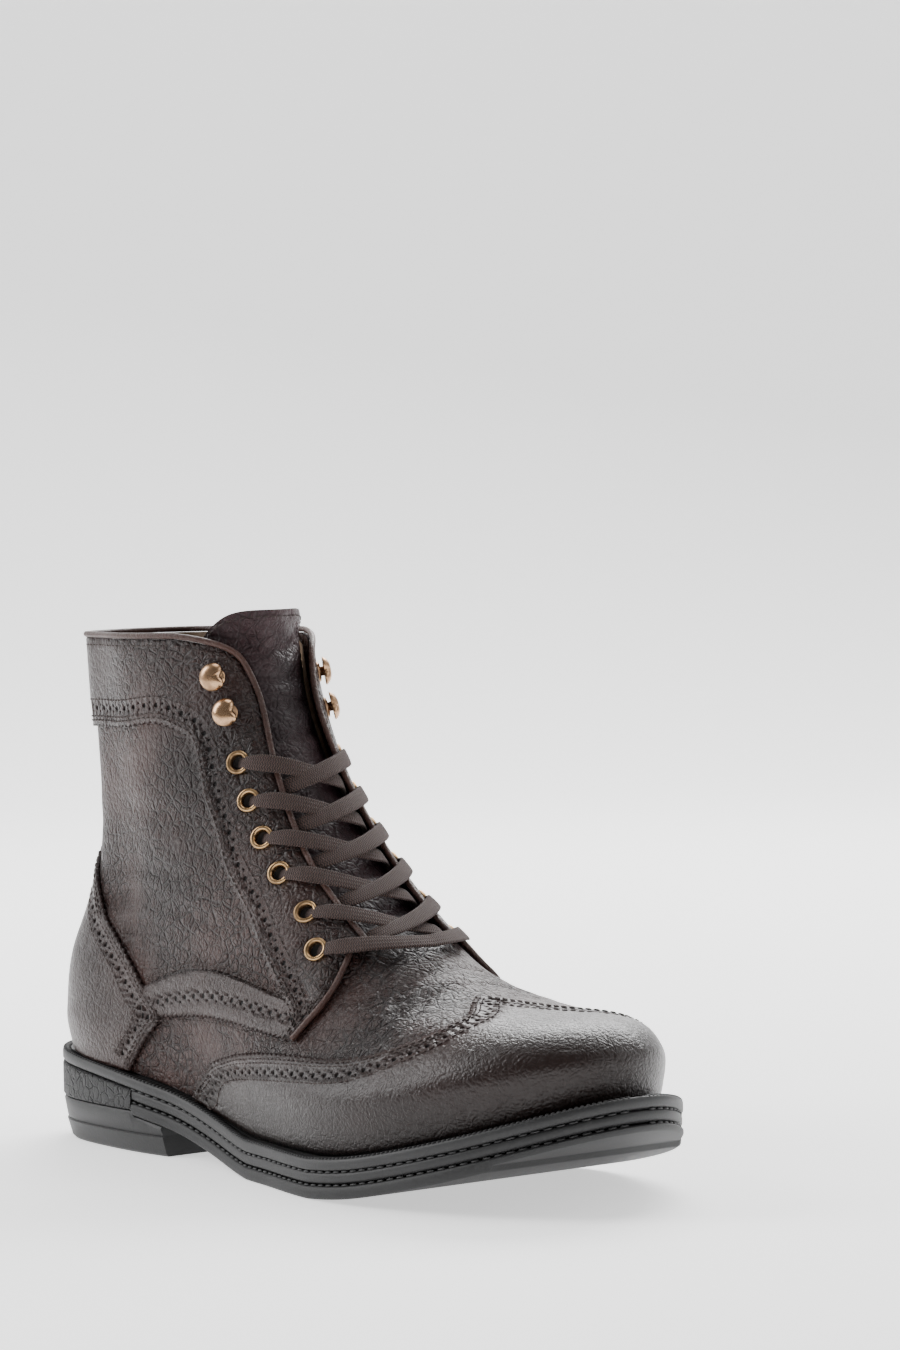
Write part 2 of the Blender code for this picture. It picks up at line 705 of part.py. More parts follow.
def facing_grid(side):
    """Rows and angles of a facing and its band round the collar, and the cells to leave out."""
    rows = [row for row in MESH_ROWS if row >= 0.34]
    rear = np.radians(through(FACING_REAR, rows))
    front = facing_front(rows, side)
    margin = ZIP_SLOT / 2 + 2 * GAP
    slot = FRONT_STEPS + OUTER_STEPS + BACK_STEPS
    base = upper_angles(BAND_BOTTOM)
    split = int(np.searchsorted(base, side * rear[rows.index(BAND_BOTTOM)]))
    first = FRONT_STEPS if side < 0 else slot + 1
    last = slot + 1 if side < 0 else len(base) - FRONT_STEPS
    lines = []
    for k, row in enumerate(rows):
        here = upper_angles(row)[first:last]
        here[0 if side > 0 else -1] = float(zip_edge(row, side * margin)[0])
        halves = here[:split - first], here[split - first:]
        line = side * rear[k] if row <= BAND_BOTTOM else (halves[0][-1] + halves[1][0]) / 2
        if row <= BAND_BOTTOM and side < 0:
            near = np.clip(halves[0], -front[k], line)
            near[0] = -front[k]
            lines.append(np.concatenate([near, [line], np.maximum(halves[1], line + 0.03)]))
        elif row <= BAND_BOTTOM:
            near = np.clip(halves[1], line, front[k])
            near[-1] = front[k]
            lines.append(np.concatenate([np.minimum(halves[0], line - 0.03), [line], near]))
        else:
            lines.append(np.concatenate([halves[0], [line], halves[1]]))
    angles = np.array(lines)
    count = len(near)
    columns = angles.shape[1] - 1
    unused = range(count, columns) if side < 0 else range(columns - count)
    lower = rows.index(BAND_BOTTOM)
    holes = {(i, j) for i in range(lower) for j in unused}
    return np.repeat(np.array(rows)[:, None], columns + 1, 1), angles, holes


def build_facings():
    """Each facing runs up beside the lacing and on round the collar as a band, to the zip."""
    leather = look("facing_leather", (0.036, 0.024, 0.020), 0.34)
    for side, name in ((-1, "facing_outer"), (1, "facing_inner")):
        rows, angles, holes = facing_grid(side)
        overlay(name, rows, angles, leather, holes)


def build_counter():
    """The panel round the back of the heel, with a curved front edge on both sides."""
    leather = look("counter_leather", (0.048, 0.034, 0.028), 0.40)
    top = COUNTER_TOP[0][1]
    inside = np.abs(upper_angles(0.4)) < math.radians(68)
    lines = []
    for row in [row for row in MESH_ROWS if 0 < row <= top]:
        edge = math.radians(float(through(COUNTER_EDGE, row)[0]))
        angles = np.clip(upper_angles(row)[inside], -edge, edge)
        rows = np.minimum(row, through(COUNTER_TOP, np.degrees(np.abs(angles))))
        lines.append((rows, angles))
    rows, angles = np.array(lines).transpose(1, 0, 2)
    overlay("counter", rows, angles, leather)


def clipped(angles, bottom, top):
    """The mesh's rows at each angle, held between two edges of a panel."""
    rows = np.repeat(np.array(MESH_ROWS)[:, None], len(angles), 1)
    rows = np.clip(rows, bottom, top)
    used = [k for k in range(len(rows)) if (rows[k] > bottom).any() or k == 0]
    last = max(k for k in used if (rows[k - 1] < top).any() or k == 0)
    first = min(k for k in used if (rows[k] > bottom).any()) - 1
    rows = rows[first:last + 1]
    return rows, np.repeat(angles[None, :], len(rows), 0)


def build_strips():
    """A band along the lower quarter on each side, from the counter to the facing."""
    leather = look("strip_leather", (0.050, 0.034, 0.028), 0.40)
    base = upper_angles(0.4)
    for side, name in ((-1, "quarter_strip_outer"), (1, "quarter_strip_inner")):
        degrees = np.sort(np.degrees(np.abs(base[side * base > 0])))
        degrees = degrees[(degrees > 67) & (degrees < 99)]
        degrees = np.concatenate([[65.2], degrees, [100.2, 104.5, 109.3]])
        bottom = through(STRIP_BOTTOM, degrees)
        top = through(STRIP_TOP, degrees)
        rows, angles = clipped(side * np.radians(degrees), bottom, top)
        edge = through(FACING_REAR, rows.ravel()).reshape(rows.shape) - 0.6
        angles = side * np.minimum(np.abs(angles), np.radians(edge))
        if side < 0:
            rows = rows[:, ::-1]
            angles = angles[:, ::-1]
        overlay(name, rows, angles, leather)


def build_wing_cap():
    """The toe cap, whose wings run back along both sides and whose tip points up the vamp."""
    leather = look("cap_leather", (0.045, 0.032, 0.026), 0.28)
    reach = WING_EDGE[-1][0]
    peak = 360 + WING_TIP
    back = 72
    base = np.degrees(upper_angles(0.2)) % 360
    base = np.unique(np.round(np.concatenate([base, [peak - 7, peak, peak + 7]]), 3))
    degrees = base[(base > back + 1) & (base < peak + reach - 1)]
    degrees = np.concatenate([[back], degrees, [peak + reach]])
    away = np.abs(degrees - peak)
    away = np.where(degrees < peak, away * reach / (peak - back), away)
    rows, angles = clipped(np.radians(degrees), 0.025, through(WING_EDGE, away))
    overlay("wing_cap", rows, angles, leather)


def build_piping():
    """A cord sewn along the facing's front edge and round the collar, ending at the zip."""
    leather = look("piping_leather", (0.10, 0.062, 0.050), 0.45)
    for side, name in ((-1, "piping_outer"), (1, "piping_inner")):
        rows, angles, _ = facing_grid(side)
        end = 0 if side < 0 else -1
        collar = angles[-1][1:] if side < 0 else angles[-1][:-1][::-1]
        collar[-1] = float(zip_edge(1, side * (ZIP_SLOT / 2 + 4 * GAP))[0])
        rows = np.concatenate([rows[:, end], np.ones(len(collar))])
        angles = np.concatenate([angles[:, end], collar])
        places = lifted(rows, angles, np.full(len(rows), PIPING + BED))
        apart = np.linalg.norm(np.diff(places, axis=0), axis=1) > PIPING / 2
        kept = np.concatenate([[True], apart])
        rows, angles, places = rows[kept], angles[kept], places[kept]
        along = np.gradient(places, axis=0)
        out = -side * np.cross(along, normal(rows, angles))
        out /= np.linalg.norm(out, axis=1, keepdims=True)
        tube(name, places + out * (PIPING + 1.5 * GAP), PIPING, leather)


# Metal fittings

def taken_mesh(made):
    """The mesh of an object that an operator made, and the object gone."""
    mesh = made.data
    bpy.data.objects.remove(made, do_unlink=True)
    return mesh


def fitting_angle(row, side, inset):
    front = float(facing_front([row], side)[0])
    return side * angle_off(row, front, side, inset)


def build_eyelets():
    brass = look("antique_brass", (0.30, 0.20, 0.10), 0.35, 1.0)
    bpy.ops.mesh.primitive_torus_add(
        major_segments=8, minor_segments=4,
        major_radius=EYELET - EYELET_WIRE, minor_radius=EYELET_WIRE)
    ring = taken_mesh(bpy.context.object)
    for side, word in ((-1, "outer"), (1, "inner")):
        for k, row in enumerate(EYELET_ROWS):
            made = add_object(f"eyelet_{word}_{k + 1}", ring, brass)
            angle = fitting_angle(row, side, EYELET_INSET)
            made.matrix_world = frame_at(row, angle, BED + OVERLAY + 2 * GAP + EYELET_WIRE)


def build_hooks():
    """Speed hooks: a foot, a neck and a domed head, turned round one axis."""
    brass = look("hook_brass", (0.34, 0.23, 0.12), 0.30, 1.0)
    top = HOOK_HEIGHT
    profile = (
        (0, top), (0.60 * HOOK, 0.90 * top), (HOOK, 0.50 * top), (0.36 * HOOK, 0.40 * top),
        (0.36 * HOOK, 0.12 * top), (0.72 * HOOK, 0), (0, 0),
    )
    mesh = bpy.data.meshes.new("hook")
    edges = [(k, k + 1) for k in range(len(profile) - 1)]
    mesh.from_pydata([(x, 0, z) for x, z in profile], edges, [])
    for side, word in ((-1, "outer"), (1, "inner")):
        for k, row in enumerate(HOOK_ROWS):
            made = add_object(f"hook_{word}_{k + 1}", mesh, brass)
            turned = made.modifiers.new("turned", "SCREW")
            turned.steps = 10
            turned.render_steps = 10
            turned.use_merge_vertices = True
            turned.merge_threshold = 1e-5
            turned.use_normal_calculate = True
            angle = fitting_angle(row, side, EYELET_INSET)
            made.matrix_world = frame_at(row, angle, BED + OVERLAY + GAP)


# The lace

def ribbon(name, middle, out, material, into=None):
    """A flat lace along a line of points, whose outer face looks the given ways."""
    along = np.gradient(middle, axis=0)
    across = np.cross(out, along)
    across /= np.linalg.norm(across, axis=1, keepdims=True)
    half = across * LACE_WIDTH / 2
    made = shell(name, np.array([middle + half, middle - half]), LACE, material)
    if into:
        PARTS.objects.unlink(made)
        GUIDES.objects.link(made)
        made.hide_render = True
        made.display_type = "WIRE"
        joined = into.modifiers.new("joined", "BOOLEAN")
        joined.operation = "UNION"
        joined.object = made
    return made


def strap(name, side, k, lifts, material, into=None):
    """A lace from an eyelet over its facing and across, down to the other facing's edge."""
    over, middle, end = lifts
    rows = EYELET_ROWS[k], EYELET_ROWS[k + 1]
    start = abs(fitting_angle(rows[0], side, EYELET_INSET - EYELET - 2 * GAP))
    far = abs(fitting_angle(rows[1], -side, EYELET_INSET))
    low = rows[0] + (rows[1] - rows[0]) * 0.8
    stop = float(opening_angle([low], -side, LACE_WIDTH * 0.42)[0])
    total = 2 * math.pi - stop - start
    edge = float(opening_angle([rows[0]], side, 5 * PIPING)[0])
    share = np.linspace(0, 1, 12)
    row = rows[0] + (rows[1] - rows[0]) * share * total / (2 * math.pi - far - start)
    angle = side * (start + share * total)
    leave = (edge - start) / total
    ridge = (math.pi - start) / total
    lift = over + (middle - over) * ease(leave, ridge, share) + (end - middle) * ease(ridge, 1, share)
    return ribbon(name, lifted(row, angle, lift), normal(row, angle), material, into)


def build_lace():
    """A flat lace: a joined solid for each crossing, and a bar between the lowest eyelets."""
    cotton = look("lace_cotton", (0.045, 0.030, 0.026), 0.85)
    over = 2 * PIPING + BED + 2 * GAP + LACE
    middle = 1.5 * LACE
    last = len(EYELET_ROWS) - 1
    for k in range(last):
        end = 1.6 * LACE if k + 1 == last else 0.5 * LACE
        near = strap(f"lace_cross_{k + 1}", -1, k, (over, middle - 0.4 * LACE, end), cotton)
        strap(f"lace_over_{k + 1}", 1, k, (over, middle + 0.4 * LACE, end), cotton, near)
    row = EYELET_ROWS[last]
    start = EYELET_INSET - EYELET - 2 * GAP
    outer = abs(fitting_angle(row, -1, start))
    inner = abs(fitting_angle(row, 1, start))
    share = np.linspace(0, 1, 15)
    angle = -outer - share * (2 * math.pi - outer - inner)
    lift = over - 0.8 * LACE * ease(0, 1, 1 - np.abs(2 * share - 1))
    ribbon("lace_bar", lifted(row, angle, lift), normal(row, angle), cotton)


# The zip on the inner side

def strip_between(name, rows, offset, lift, thickness, material, columns):
    """A strip along the zip's line, as wide as two offsets."""
    lines = [np.linspace(float(zip_edge(r, -offset)[0]), float(zip_edge(r, offset)[0]), columns) for r in rows]
    angles = np.array(lines)
    grid = np.repeat(rows[:, None], columns, 1)
    return shell(name, lifted(grid, angles, np.full(grid.shape, lift)), thickness, material)


def mesh_of(made):
    """A welded mesh object in place of a curve object."""
    graph = bpy.context.evaluated_depsgraph_get()
    mesh = bpy.data.meshes.new_from_object(made.evaluated_get(graph))
    work = bmesh.new()
    work.from_mesh(mesh)
    bmesh.ops.remove_doubles(work, verts=work.verts, dist=1e-6)
    work.to_mesh(mesh)
    work.free()
    name = made.name
    place = made.matrix_world.copy()
    material = made.data.materials[0]
    bpy.data.objects.remove(made, do_unlink=True)
    solid = add_object(name, mesh, material)
    solid.matrix_world = place
    return solid


def rounded_loop(length, width, count=6):
    """A loop hanging from the origin along -X, with round corners at its far end."""
    half = width / 2
    line = [(0, -half), (0, half)]
    for k in range(1, count):
        turn = math.pi * k / count
        line.append((-length + half - half * math.sin(turn), half * math.cos(turn)))
    return [(x, y, 0) for x, y in line]


def build_zip():
    """Tape and teeth behind a slot in the shaft, a slider near the top and its hanging pull."""
    fabric = look("zip_tape", (0.012, 0.012, 0.012), 0.90)
    nylon = look("zip_teeth", (0.020, 0.020, 0.020), 0.60)
    nickel = look("slider_nickel", (0.62, 0.61, 0.60), 0.25, 1.0)
    steel = look("pull_nickel", (0.66, 0.65, 0.64), 0.22, 1.0)
    rows = np.linspace(ZIP_ROW - 0.01, 0.997, 12)
    strip_between("zip_tape", rows, ZIP_TAPE_WIDTH / 2, -WALL - 3 * GAP, ZIP_TAPE, fabric, 4)
    teeth_top = -WALL + ZIP_TEETH
    rows = np.linspace(ZIP_ROW + 0.01, 0.985, 12)
    strip_between("zip_teeth", rows, ZIP_TEETH_WIDTH / 2, teeth_top, ZIP_TEETH + GAP, nylon, 2)

    angle = float(zip_edge(SLIDER_ROW, 0)[0])
    seat = frame_at(SLIDER_ROW, angle, teeth_top + GAP)
    work = bmesh.new()
    bmesh.ops.create_cube(work, size=1)
    bmesh.ops.scale(work, vec=(SLIDER_LENGTH, SLIDER_WIDTH, SLIDER_HEIGHT), verts=work.verts)
    bmesh.ops.translate(work, vec=(0, 0, SLIDER_HEIGHT / 2), verts=work.verts)
    mesh = bpy.data.meshes.new("zip_slider")
    work.to_mesh(mesh)
    work.free()
    slider = add_object("zip_slider", mesh, nickel)
    slider.matrix_world = seat
    bevel = slider.modifiers.new("rounding", "BEVEL")
    bevel.width = SLIDER_HEIGHT / 5
    bevel.segments = 1
    reach = SLIDER_LENGTH * 0.3
    arch = []
    for k in range(9):
        turn = math.pi * k / 8
        rise = SLIDER_HEIGHT - PULL_WIRE + (BAIL_HEIGHT + PULL_WIRE) * math.sin(turn) ** 0.6
        arch.append((reach * math.cos(turn), 0, rise))
    bail = tube("slider_bail", arch, PULL_WIRE * 0.8, nickel)
    bail.matrix_world = seat
    bpy.context.view_layer.update()
    bail = mesh_of(bail)
    PARTS.objects.unlink(bail)
    GUIDES.objects.link(bail)
    bail.hide_render = True
    bail.display_type = "WIRE"
    joined = slider.modifiers.new("bail", "BOOLEAN")
    joined.operation = "UNION"
    joined.object = bail

    hinge = bpy.data.objects.new("zip_pull_hinge", None)
    PARTS.objects.link(hinge)
    pivot_height = SLIDER_HEIGHT + PULL_WIRE + GAP
    hinge.matrix_world = seat @ Matrix.Translation((0, 0, pivot_height))
    loop = rounded_loop(PULL_LENGTH - 2 * PULL_WIRE, PULL_WIDTH - 2 * PULL_WIRE)
    pull = tube("zip_pull", loop, PULL_WIRE, steel, closed=True)
    pull.parent = hinge


def main():
    build_sole()
    build_upper()
    build_insole()
    build_tongue()
    build_facings()
    build_counter()
    build_strips()
    build_wing_cap()
    build_piping()
    build_eyelets()
    build_hooks()
    build_lace()
    build_zip()


clear_scene()
PARTS = collection("leather_boot")
GUIDES = collection("guides")
main()
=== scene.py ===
"""The look of a brown brogue boot: leather, stitching, laces, brass and rubber round the fixed frame.

Metres. +X points to the toe, +Y to the inner side of the foot and +Z up. Every leather piece comes
from one surface of rows, from the sole to the collar, and angles round the foot, from the back seam.
"""

import json
import math

import bmesh
import bpy
import numpy as np
from mathutils import Matrix, Vector, kdtree
from mathutils.geometry import delaunay_2d_cdt

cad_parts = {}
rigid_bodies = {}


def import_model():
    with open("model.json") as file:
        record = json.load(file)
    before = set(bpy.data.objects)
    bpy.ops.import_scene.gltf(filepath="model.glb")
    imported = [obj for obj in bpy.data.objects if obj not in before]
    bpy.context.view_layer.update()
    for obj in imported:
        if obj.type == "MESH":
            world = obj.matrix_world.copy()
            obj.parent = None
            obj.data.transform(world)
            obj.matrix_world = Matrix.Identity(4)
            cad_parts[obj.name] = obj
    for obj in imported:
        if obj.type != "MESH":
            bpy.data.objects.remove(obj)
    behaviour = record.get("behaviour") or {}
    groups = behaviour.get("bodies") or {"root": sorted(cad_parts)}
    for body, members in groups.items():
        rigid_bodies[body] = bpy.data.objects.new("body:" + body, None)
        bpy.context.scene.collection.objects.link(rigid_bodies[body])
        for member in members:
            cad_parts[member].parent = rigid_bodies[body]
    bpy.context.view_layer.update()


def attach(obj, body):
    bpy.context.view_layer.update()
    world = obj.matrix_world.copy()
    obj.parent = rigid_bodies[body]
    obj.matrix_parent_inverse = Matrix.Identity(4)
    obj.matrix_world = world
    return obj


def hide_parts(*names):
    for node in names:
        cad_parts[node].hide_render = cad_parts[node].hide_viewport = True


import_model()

# Overall sizes
LENGTH = 0.305
BALL_WIDTH = 0.110
HEEL_WIDTH = 0.073
SHAFT_WIDTH = 0.060
SHAFT_DEPTH = 0.0935
COLLAR_HEIGHT = 0.180
THROAT_HEIGHT = 0.084
TOE_HEIGHT = 0.063
GAP = 0.0003
BED = 0.0006

# Sole sizes
WELT = 0.0043
MIDSOLE = 0.0041
OUTSOLE = 0.0045
HEEL_LIFT = 0.0195
TOE_SPRING = 0.025
HEEL_LENGTH = 0.0865
BAND_LENGTH = 0.0705
BAND_FOOT = 0.0152
HEEL_TAPER = 0.0032
TREAD_STEP = 0.0018
TREAD_STEP_BACK = 0.030
EDGE_ROUND = 0.0008
SOLE = WELT + MIDSOLE + OUTSOLE + 2 * GAP

# Upper sizes
WALL = 0.0022
OVERLAY = 0.0012
INSOLE = 0.0026
TONGUE = 0.0024
TONGUE_RISE = 0.010
TONGUE_HALF = 0.030
PIPING = 0.0010
FACING_GAP = 0.030

# Fittings
EYELET = 0.0043
EYELET_WIRE = 0.0009
EYELET_INSET = 0.0108
HOOK = 0.0050
HOOK_HEIGHT = 0.0046
LACE_WIDTH = 0.0060
LACE = 0.0012
ZIP_SLOT = 0.0100
ZIP_TAPE = 0.0008
ZIP_TAPE_WIDTH = 0.0220
ZIP_TEETH_WIDTH = 0.0056
ZIP_TEETH = 0.0018
ZIP_TOP_FORWARD = 0.0027
ZIP_FOOT_FORWARD = 0.0088
SLIDER_LENGTH = 0.0100
SLIDER_WIDTH = 0.0075
SLIDER_HEIGHT = 0.0032
PULL_LENGTH = 0.0140
PULL_WIDTH = 0.0070
PULL_WIRE = 0.0008
BAIL_HEIGHT = 0.0030
SLIDER_ROW = 0.955

# Outline of the sole: share of the length, then the outer and inner half width as shares of the
# local width, which grows from the heel's to the ball's.
OUTLINE = (
    (0.05, 0.377, 0.377),
    (0.12, 0.466, 0.466),
    (0.25, 0.493, 0.475),
    (0.40, 0.410, 0.318),
    (0.55, 0.441, 0.332),
    (0.65, 0.500, 0.445),
    (0.72, 0.500, 0.498),
    (0.80, 0.464, 0.487),
    (0.88, 0.386, 0.418),
    (0.95, 0.262, 0.276),
)

# How the sole rises: share of the length, share of the heel lift, share of the toe spring.
RISE = (
    (0.00, 1.00, 0.00),
    (0.13, 0.86, 0.00),
    (0.23, 0.69, 0.00),
    (0.31, 0.49, 0.00),
    (0.37, 0.30, 0.00),
    (0.43, 0.12, 0.00),
    (0.49, 0.00, 0.00),
    (0.65, 0.00, 0.00),
    (0.72, 0.00, 0.08),
    (0.80, 0.00, 0.27),
    (0.88, 0.00, 0.52),
    (0.95, 0.00, 0.79),
    (1.00, 0.00, 1.00),
)

# Rows of the upper in side view, from the sole to the collar. Back and front ends are shares of
# the length up to the throat, and of the shaft's depth above it. Levels are 0 at the sole, 1 at
# the toe box, 2 at the throat and 3 at the collar. Sag is how far the row follows the sole, and
# shift how far its front leans to the inner side, as a share of the ball's width.
ROWS = (
    # back, back level, front, front level, sag, shift
    (-0.4721, 0.00, 0.4640, 0.00, 1.00, 0.010),
    (-0.4770, 0.32, 0.4690, 0.42, 0.93, 0.010),
    (-0.4761, 0.49, 0.4610, 0.63, 0.82, 0.014),
    (-0.4748, 0.66, 0.4330, 0.85, 0.62, 0.024),
    (-0.4705, 0.90, 0.3508, 1.00, 0.35, 0.045),
    (-0.4607, 1.29, 0.2164, 1.21, 0.12, 0.045),
    (-0.4459, 1.76, 0.1090, 1.83, 0.00, 0.024),
    (-0.4279, 2.09, 0.0290, 2.17, 0.00, 0.009),
)
SHAFT_CENTRE = -0.2713
SHAFT_ROWS = (
    # back, back level, front, front level, both from the shaft's centre as shares of its depth
    (-0.4765, 2.34, 0.7219, 2.48),
    (-0.4840, 2.69, 0.5550, 2.79),
    (-0.5000, 3.00, 0.5000, 3.01),
)

# Half widths of each row at six stations from its back end to its front end. In the foot's rows
# the first three are shares of the heel's width and the others of the ball's. In the shaft's
# rows all are shares of the shaft's width.
STATIONS = (0.05, 0.20, 0.40, 0.60, 0.80, 0.95)
OUTER = (
    (0.349, 0.438, 0.456, 0.414, 0.418, 0.232),
    (0.370, 0.459, 0.479, 0.441, 0.441, 0.255),
    (0.373, 0.462, 0.486, 0.436, 0.436, 0.259),
    (0.367, 0.456, 0.486, 0.405, 0.386, 0.241),
    (0.356, 0.449, 0.479, 0.359, 0.336, 0.205),
    (0.332, 0.432, 0.459, 0.323, 0.309, 0.164),
    (0.295, 0.395, 0.445, 0.309, 0.295, 0.182),
    (0.263, 0.360, 0.418, 0.286, 0.264, 0.168),
    (0.292, 0.413, 0.488, 0.497, 0.433, 0.253),
    (0.293, 0.417, 0.488, 0.492, 0.410, 0.230),
    (0.300, 0.420, 0.495, 0.495, 0.405, 0.217),
)
INNER = (
    (0.349, 0.432, 0.342, 0.332, 0.418, 0.232),
    (0.370, 0.452, 0.397, 0.368, 0.432, 0.250),
    (0.373, 0.455, 0.425, 0.373, 0.427, 0.250),
    (0.367, 0.449, 0.445, 0.364, 0.382, 0.236),
    (0.356, 0.442, 0.452, 0.336, 0.336, 0.205),
    (0.332, 0.425, 0.445, 0.314, 0.305, 0.164),
    (0.295, 0.392, 0.436, 0.300, 0.291, 0.182),
    (0.263, 0.360, 0.415, 0.285, 0.264, 0.168),
    (0.292, 0.413, 0.488, 0.497, 0.433, 0.253),
    (0.293, 0.417, 0.488, 0.492, 0.410, 0.230),
    (0.300, 0.420, 0.495, 0.495, 0.405, 0.217),
)

# Half of the opening between the facings, as shares of the facing gap: row, share.
OPENING = (
    (0.00, 0.85),
    (0.35, 0.80),
    (0.60, 0.60),
    (0.66, 0.583),
    (0.72, 0.567),
    (0.78, 0.500),
    (0.84, 0.433),
    (0.90, 0.400),
    (0.945, 0.460),
    (0.975, 0.573),
    (0.990, 0.733),
    (1.000, 0.900),
)
THROAT_ROW = 0.60
ZIP_ROW = 0.54
BAND_BOTTOM = 0.885

# The rows of every mesh over the surface, so that facets lie along each other.
MESH_ROWS = (0, 0.04, 0.09, 0.15, 0.21, 0.27, 0.34, 0.41, 0.48, ZIP_ROW, 0.57, THROAT_ROW, 0.64,
             0.68, 0.72, 0.765, 0.825, BAND_BOTTOM, 0.93, 0.965, 0.987, 1.0)

# How fast a row over the collar climbs, in steps from the throat to the collar.
ABOVE_COLLAR = 2.1

# Edges of the panels, as rows and angles in degrees, the same on both sides of the foot.
QUARTER_FRONT = ((0.34, 104), (0.40, 111), (0.49, 128), (0.545, 140), (0.58, 149))
FACING_REAR = ((0.34, 101), (0.40, 106), (0.47, 111), (0.535, 116), (0.59, 119), (0.645, 121),
               (0.725, 119), (0.80, 119), (0.88, 119))
COUNTER_EDGE = ((0.0, 53), (0.11, 58), (0.215, 61), (0.31, 64), (0.39, 62.5), (0.505, 60.5),
                (0.575, 56), (0.63, 49), (0.68, 42), (0.72, 34))
COUNTER_TOP = ((0, 0.765), (14, 0.763), (25, 0.747), (34, 0.720))
STRIP_TOP = ((64, 0.395), (69, 0.440), (79, 0.480), (89, 0.505), (97, 0.505), (106, 0.480),
             (111, 0.455))
STRIP_BOTTOM = ((64, 0.285), (70, 0.325), (77, 0.350), (84, 0.363), (91, 0.363), (98, 0.352),
                (105, 0.338))
WING_EDGE = ((0, 0.475), (7, 0.455), (17, 0.410), (26, 0.375), (33, 0.348), (41, 0.322),
             (50, 0.298), (60, 0.294), (66, 0.293), (74, 0.288), (81, 0.270), (88, 0.228),
             (94, 0.130), (98, 0.040))
WING_TIP = -170
EYELET_ROWS = (0.830, 0.790, 0.750, 0.708, 0.650, 0.582)
HOOK_ROWS = (0.935, 0.885)


# The curves that every piece is worked out from

def weights(knots, at):
    """How much each knot's value counts at the given places on a natural cubic spline."""
    knots = np.asarray(knots, float)
    at = np.atleast_1d(np.asarray(at, float))
    size = len(knots)
    step = np.diff(knots)
    matrix = np.eye(size)
    change = np.zeros((size, size))
    for i in range(1, size - 1):
        before = step[i - 1]
        after = step[i]
        matrix[i, i - 1 : i + 2] = before, 2 * (before + after), after
        change[i, i - 1 : i + 2] = 6 / before, -6 / before - 6 / after, 6 / after
    bend = np.linalg.solve(matrix, change)
    low = np.clip(np.searchsorted(knots, at) - 1, 0, size - 2)
    width = step[low]
    b = (at - knots[low]) / width
    a = 1 - b
    unit = np.eye(size)
    found = a[:, None] * unit[low] + b[:, None] * unit[low + 1]
    found += ((a**3 - a) * width**2 / 6)[:, None] * bend[low]
    found += ((b**3 - b) * width**2 / 6)[:, None] * bend[low + 1]
    return found


def through(table, at):
    """A smooth curve through a table's two columns, held level beyond its ends."""
    table = np.asarray(table, float)
    at = np.clip(np.atleast_1d(np.asarray(at, float)), table[0, 0], table[-1, 0])
    return weights(table[:, 0], at) @ table[:, 1]


def ease(low, high, at):
    """0 below low, 1 above high and smooth between them."""
    at = np.clip((np.asarray(at, float) - low) / (high - low), 0, 1)
    return at * at * (3 - 2 * at)


def sole_half(share, side):
    """Half width of the sole at a share of its length, on the outer (-1) or inner (1) side."""
    table = np.array(OUTLINE)
    share = np.clip(np.atleast_1d(np.asarray(share, float)), 0, 1)
    rounding = np.sqrt(table[:, 0] * (1 - table[:, 0]))
    local = HEEL_WIDTH + (BALL_WIDTH - HEEL_WIDTH) * ease(0.28, 0.52, share)
    column = table[:, 1] if side < 0 else table[:, 2]
    return weights(table[:, 0], share) @ (column / rounding) * local * np.sqrt(share * (1 - share))


def sole_top(x):
    """Height of the welt's top at x."""
    table = np.array(RISE)
    found = weights(table[:, 0], np.asarray(x) / LENGTH + 0.5)
    heel = np.maximum(found @ table[:, 1], 0)
    toe = np.maximum(found @ table[:, 2], 0)
    return heel * HEEL_LIFT + toe * TOE_SPRING + SOLE


FEATHER = float(sole_top(-0.5 * LENGTH)[0])
ROW_AT = np.linspace(0, 1, len(ROWS) + len(SHAFT_ROWS))


def height(level):
    """Height of a level between the sole, the toe box, the throat and the collar."""
    level = np.asarray(level, float)
    named = np.interp(level, (0, 1, 2, 3), (FEATHER, TOE_HEIGHT, THROAT_HEIGHT, COLLAR_HEIGHT))
    return named + np.maximum(level - 3, 0) * (COLLAR_HEIGHT - THROAT_HEIGHT)


def row_table():
    """Each control row's back x and z, front x and z, sag and shift, in metres."""
    rows = []
    for back, back_level, front, front_level, sag, shift in ROWS:
        ends = back * LENGTH, float(height(back_level)), front * LENGTH, float(height(front_level))
        rows.append((*ends, sag, shift * BALL_WIDTH))
    for back, back_level, front, front_level in SHAFT_ROWS:
        centre = SHAFT_CENTRE * LENGTH
        back_x = centre + back * SHAFT_DEPTH
        front_x = centre + front * SHAFT_DEPTH
        rows.append((back_x, float(height(back_level)), front_x, float(height(front_level)), 0, 0))
    return np.array(rows)


def width_table(shares):
    """A side's half widths at the stations, each divided by the round end's share of it."""
    stations = np.array(STATIONS)
    foot = np.where(stations < 0.5, HEEL_WIDTH, BALL_WIDTH)
    shaft = np.full(len(stations), SHAFT_WIDTH)
    local = np.array([foot] * len(ROWS) + [shaft] * len(SHAFT_ROWS))
    return np.array(shares) * local / np.sqrt(stations * (1 - stations))


ROW_TABLE = row_table()
OUTER_TABLE = width_table(OUTER)
INNER_TABLE = width_table(INNER)


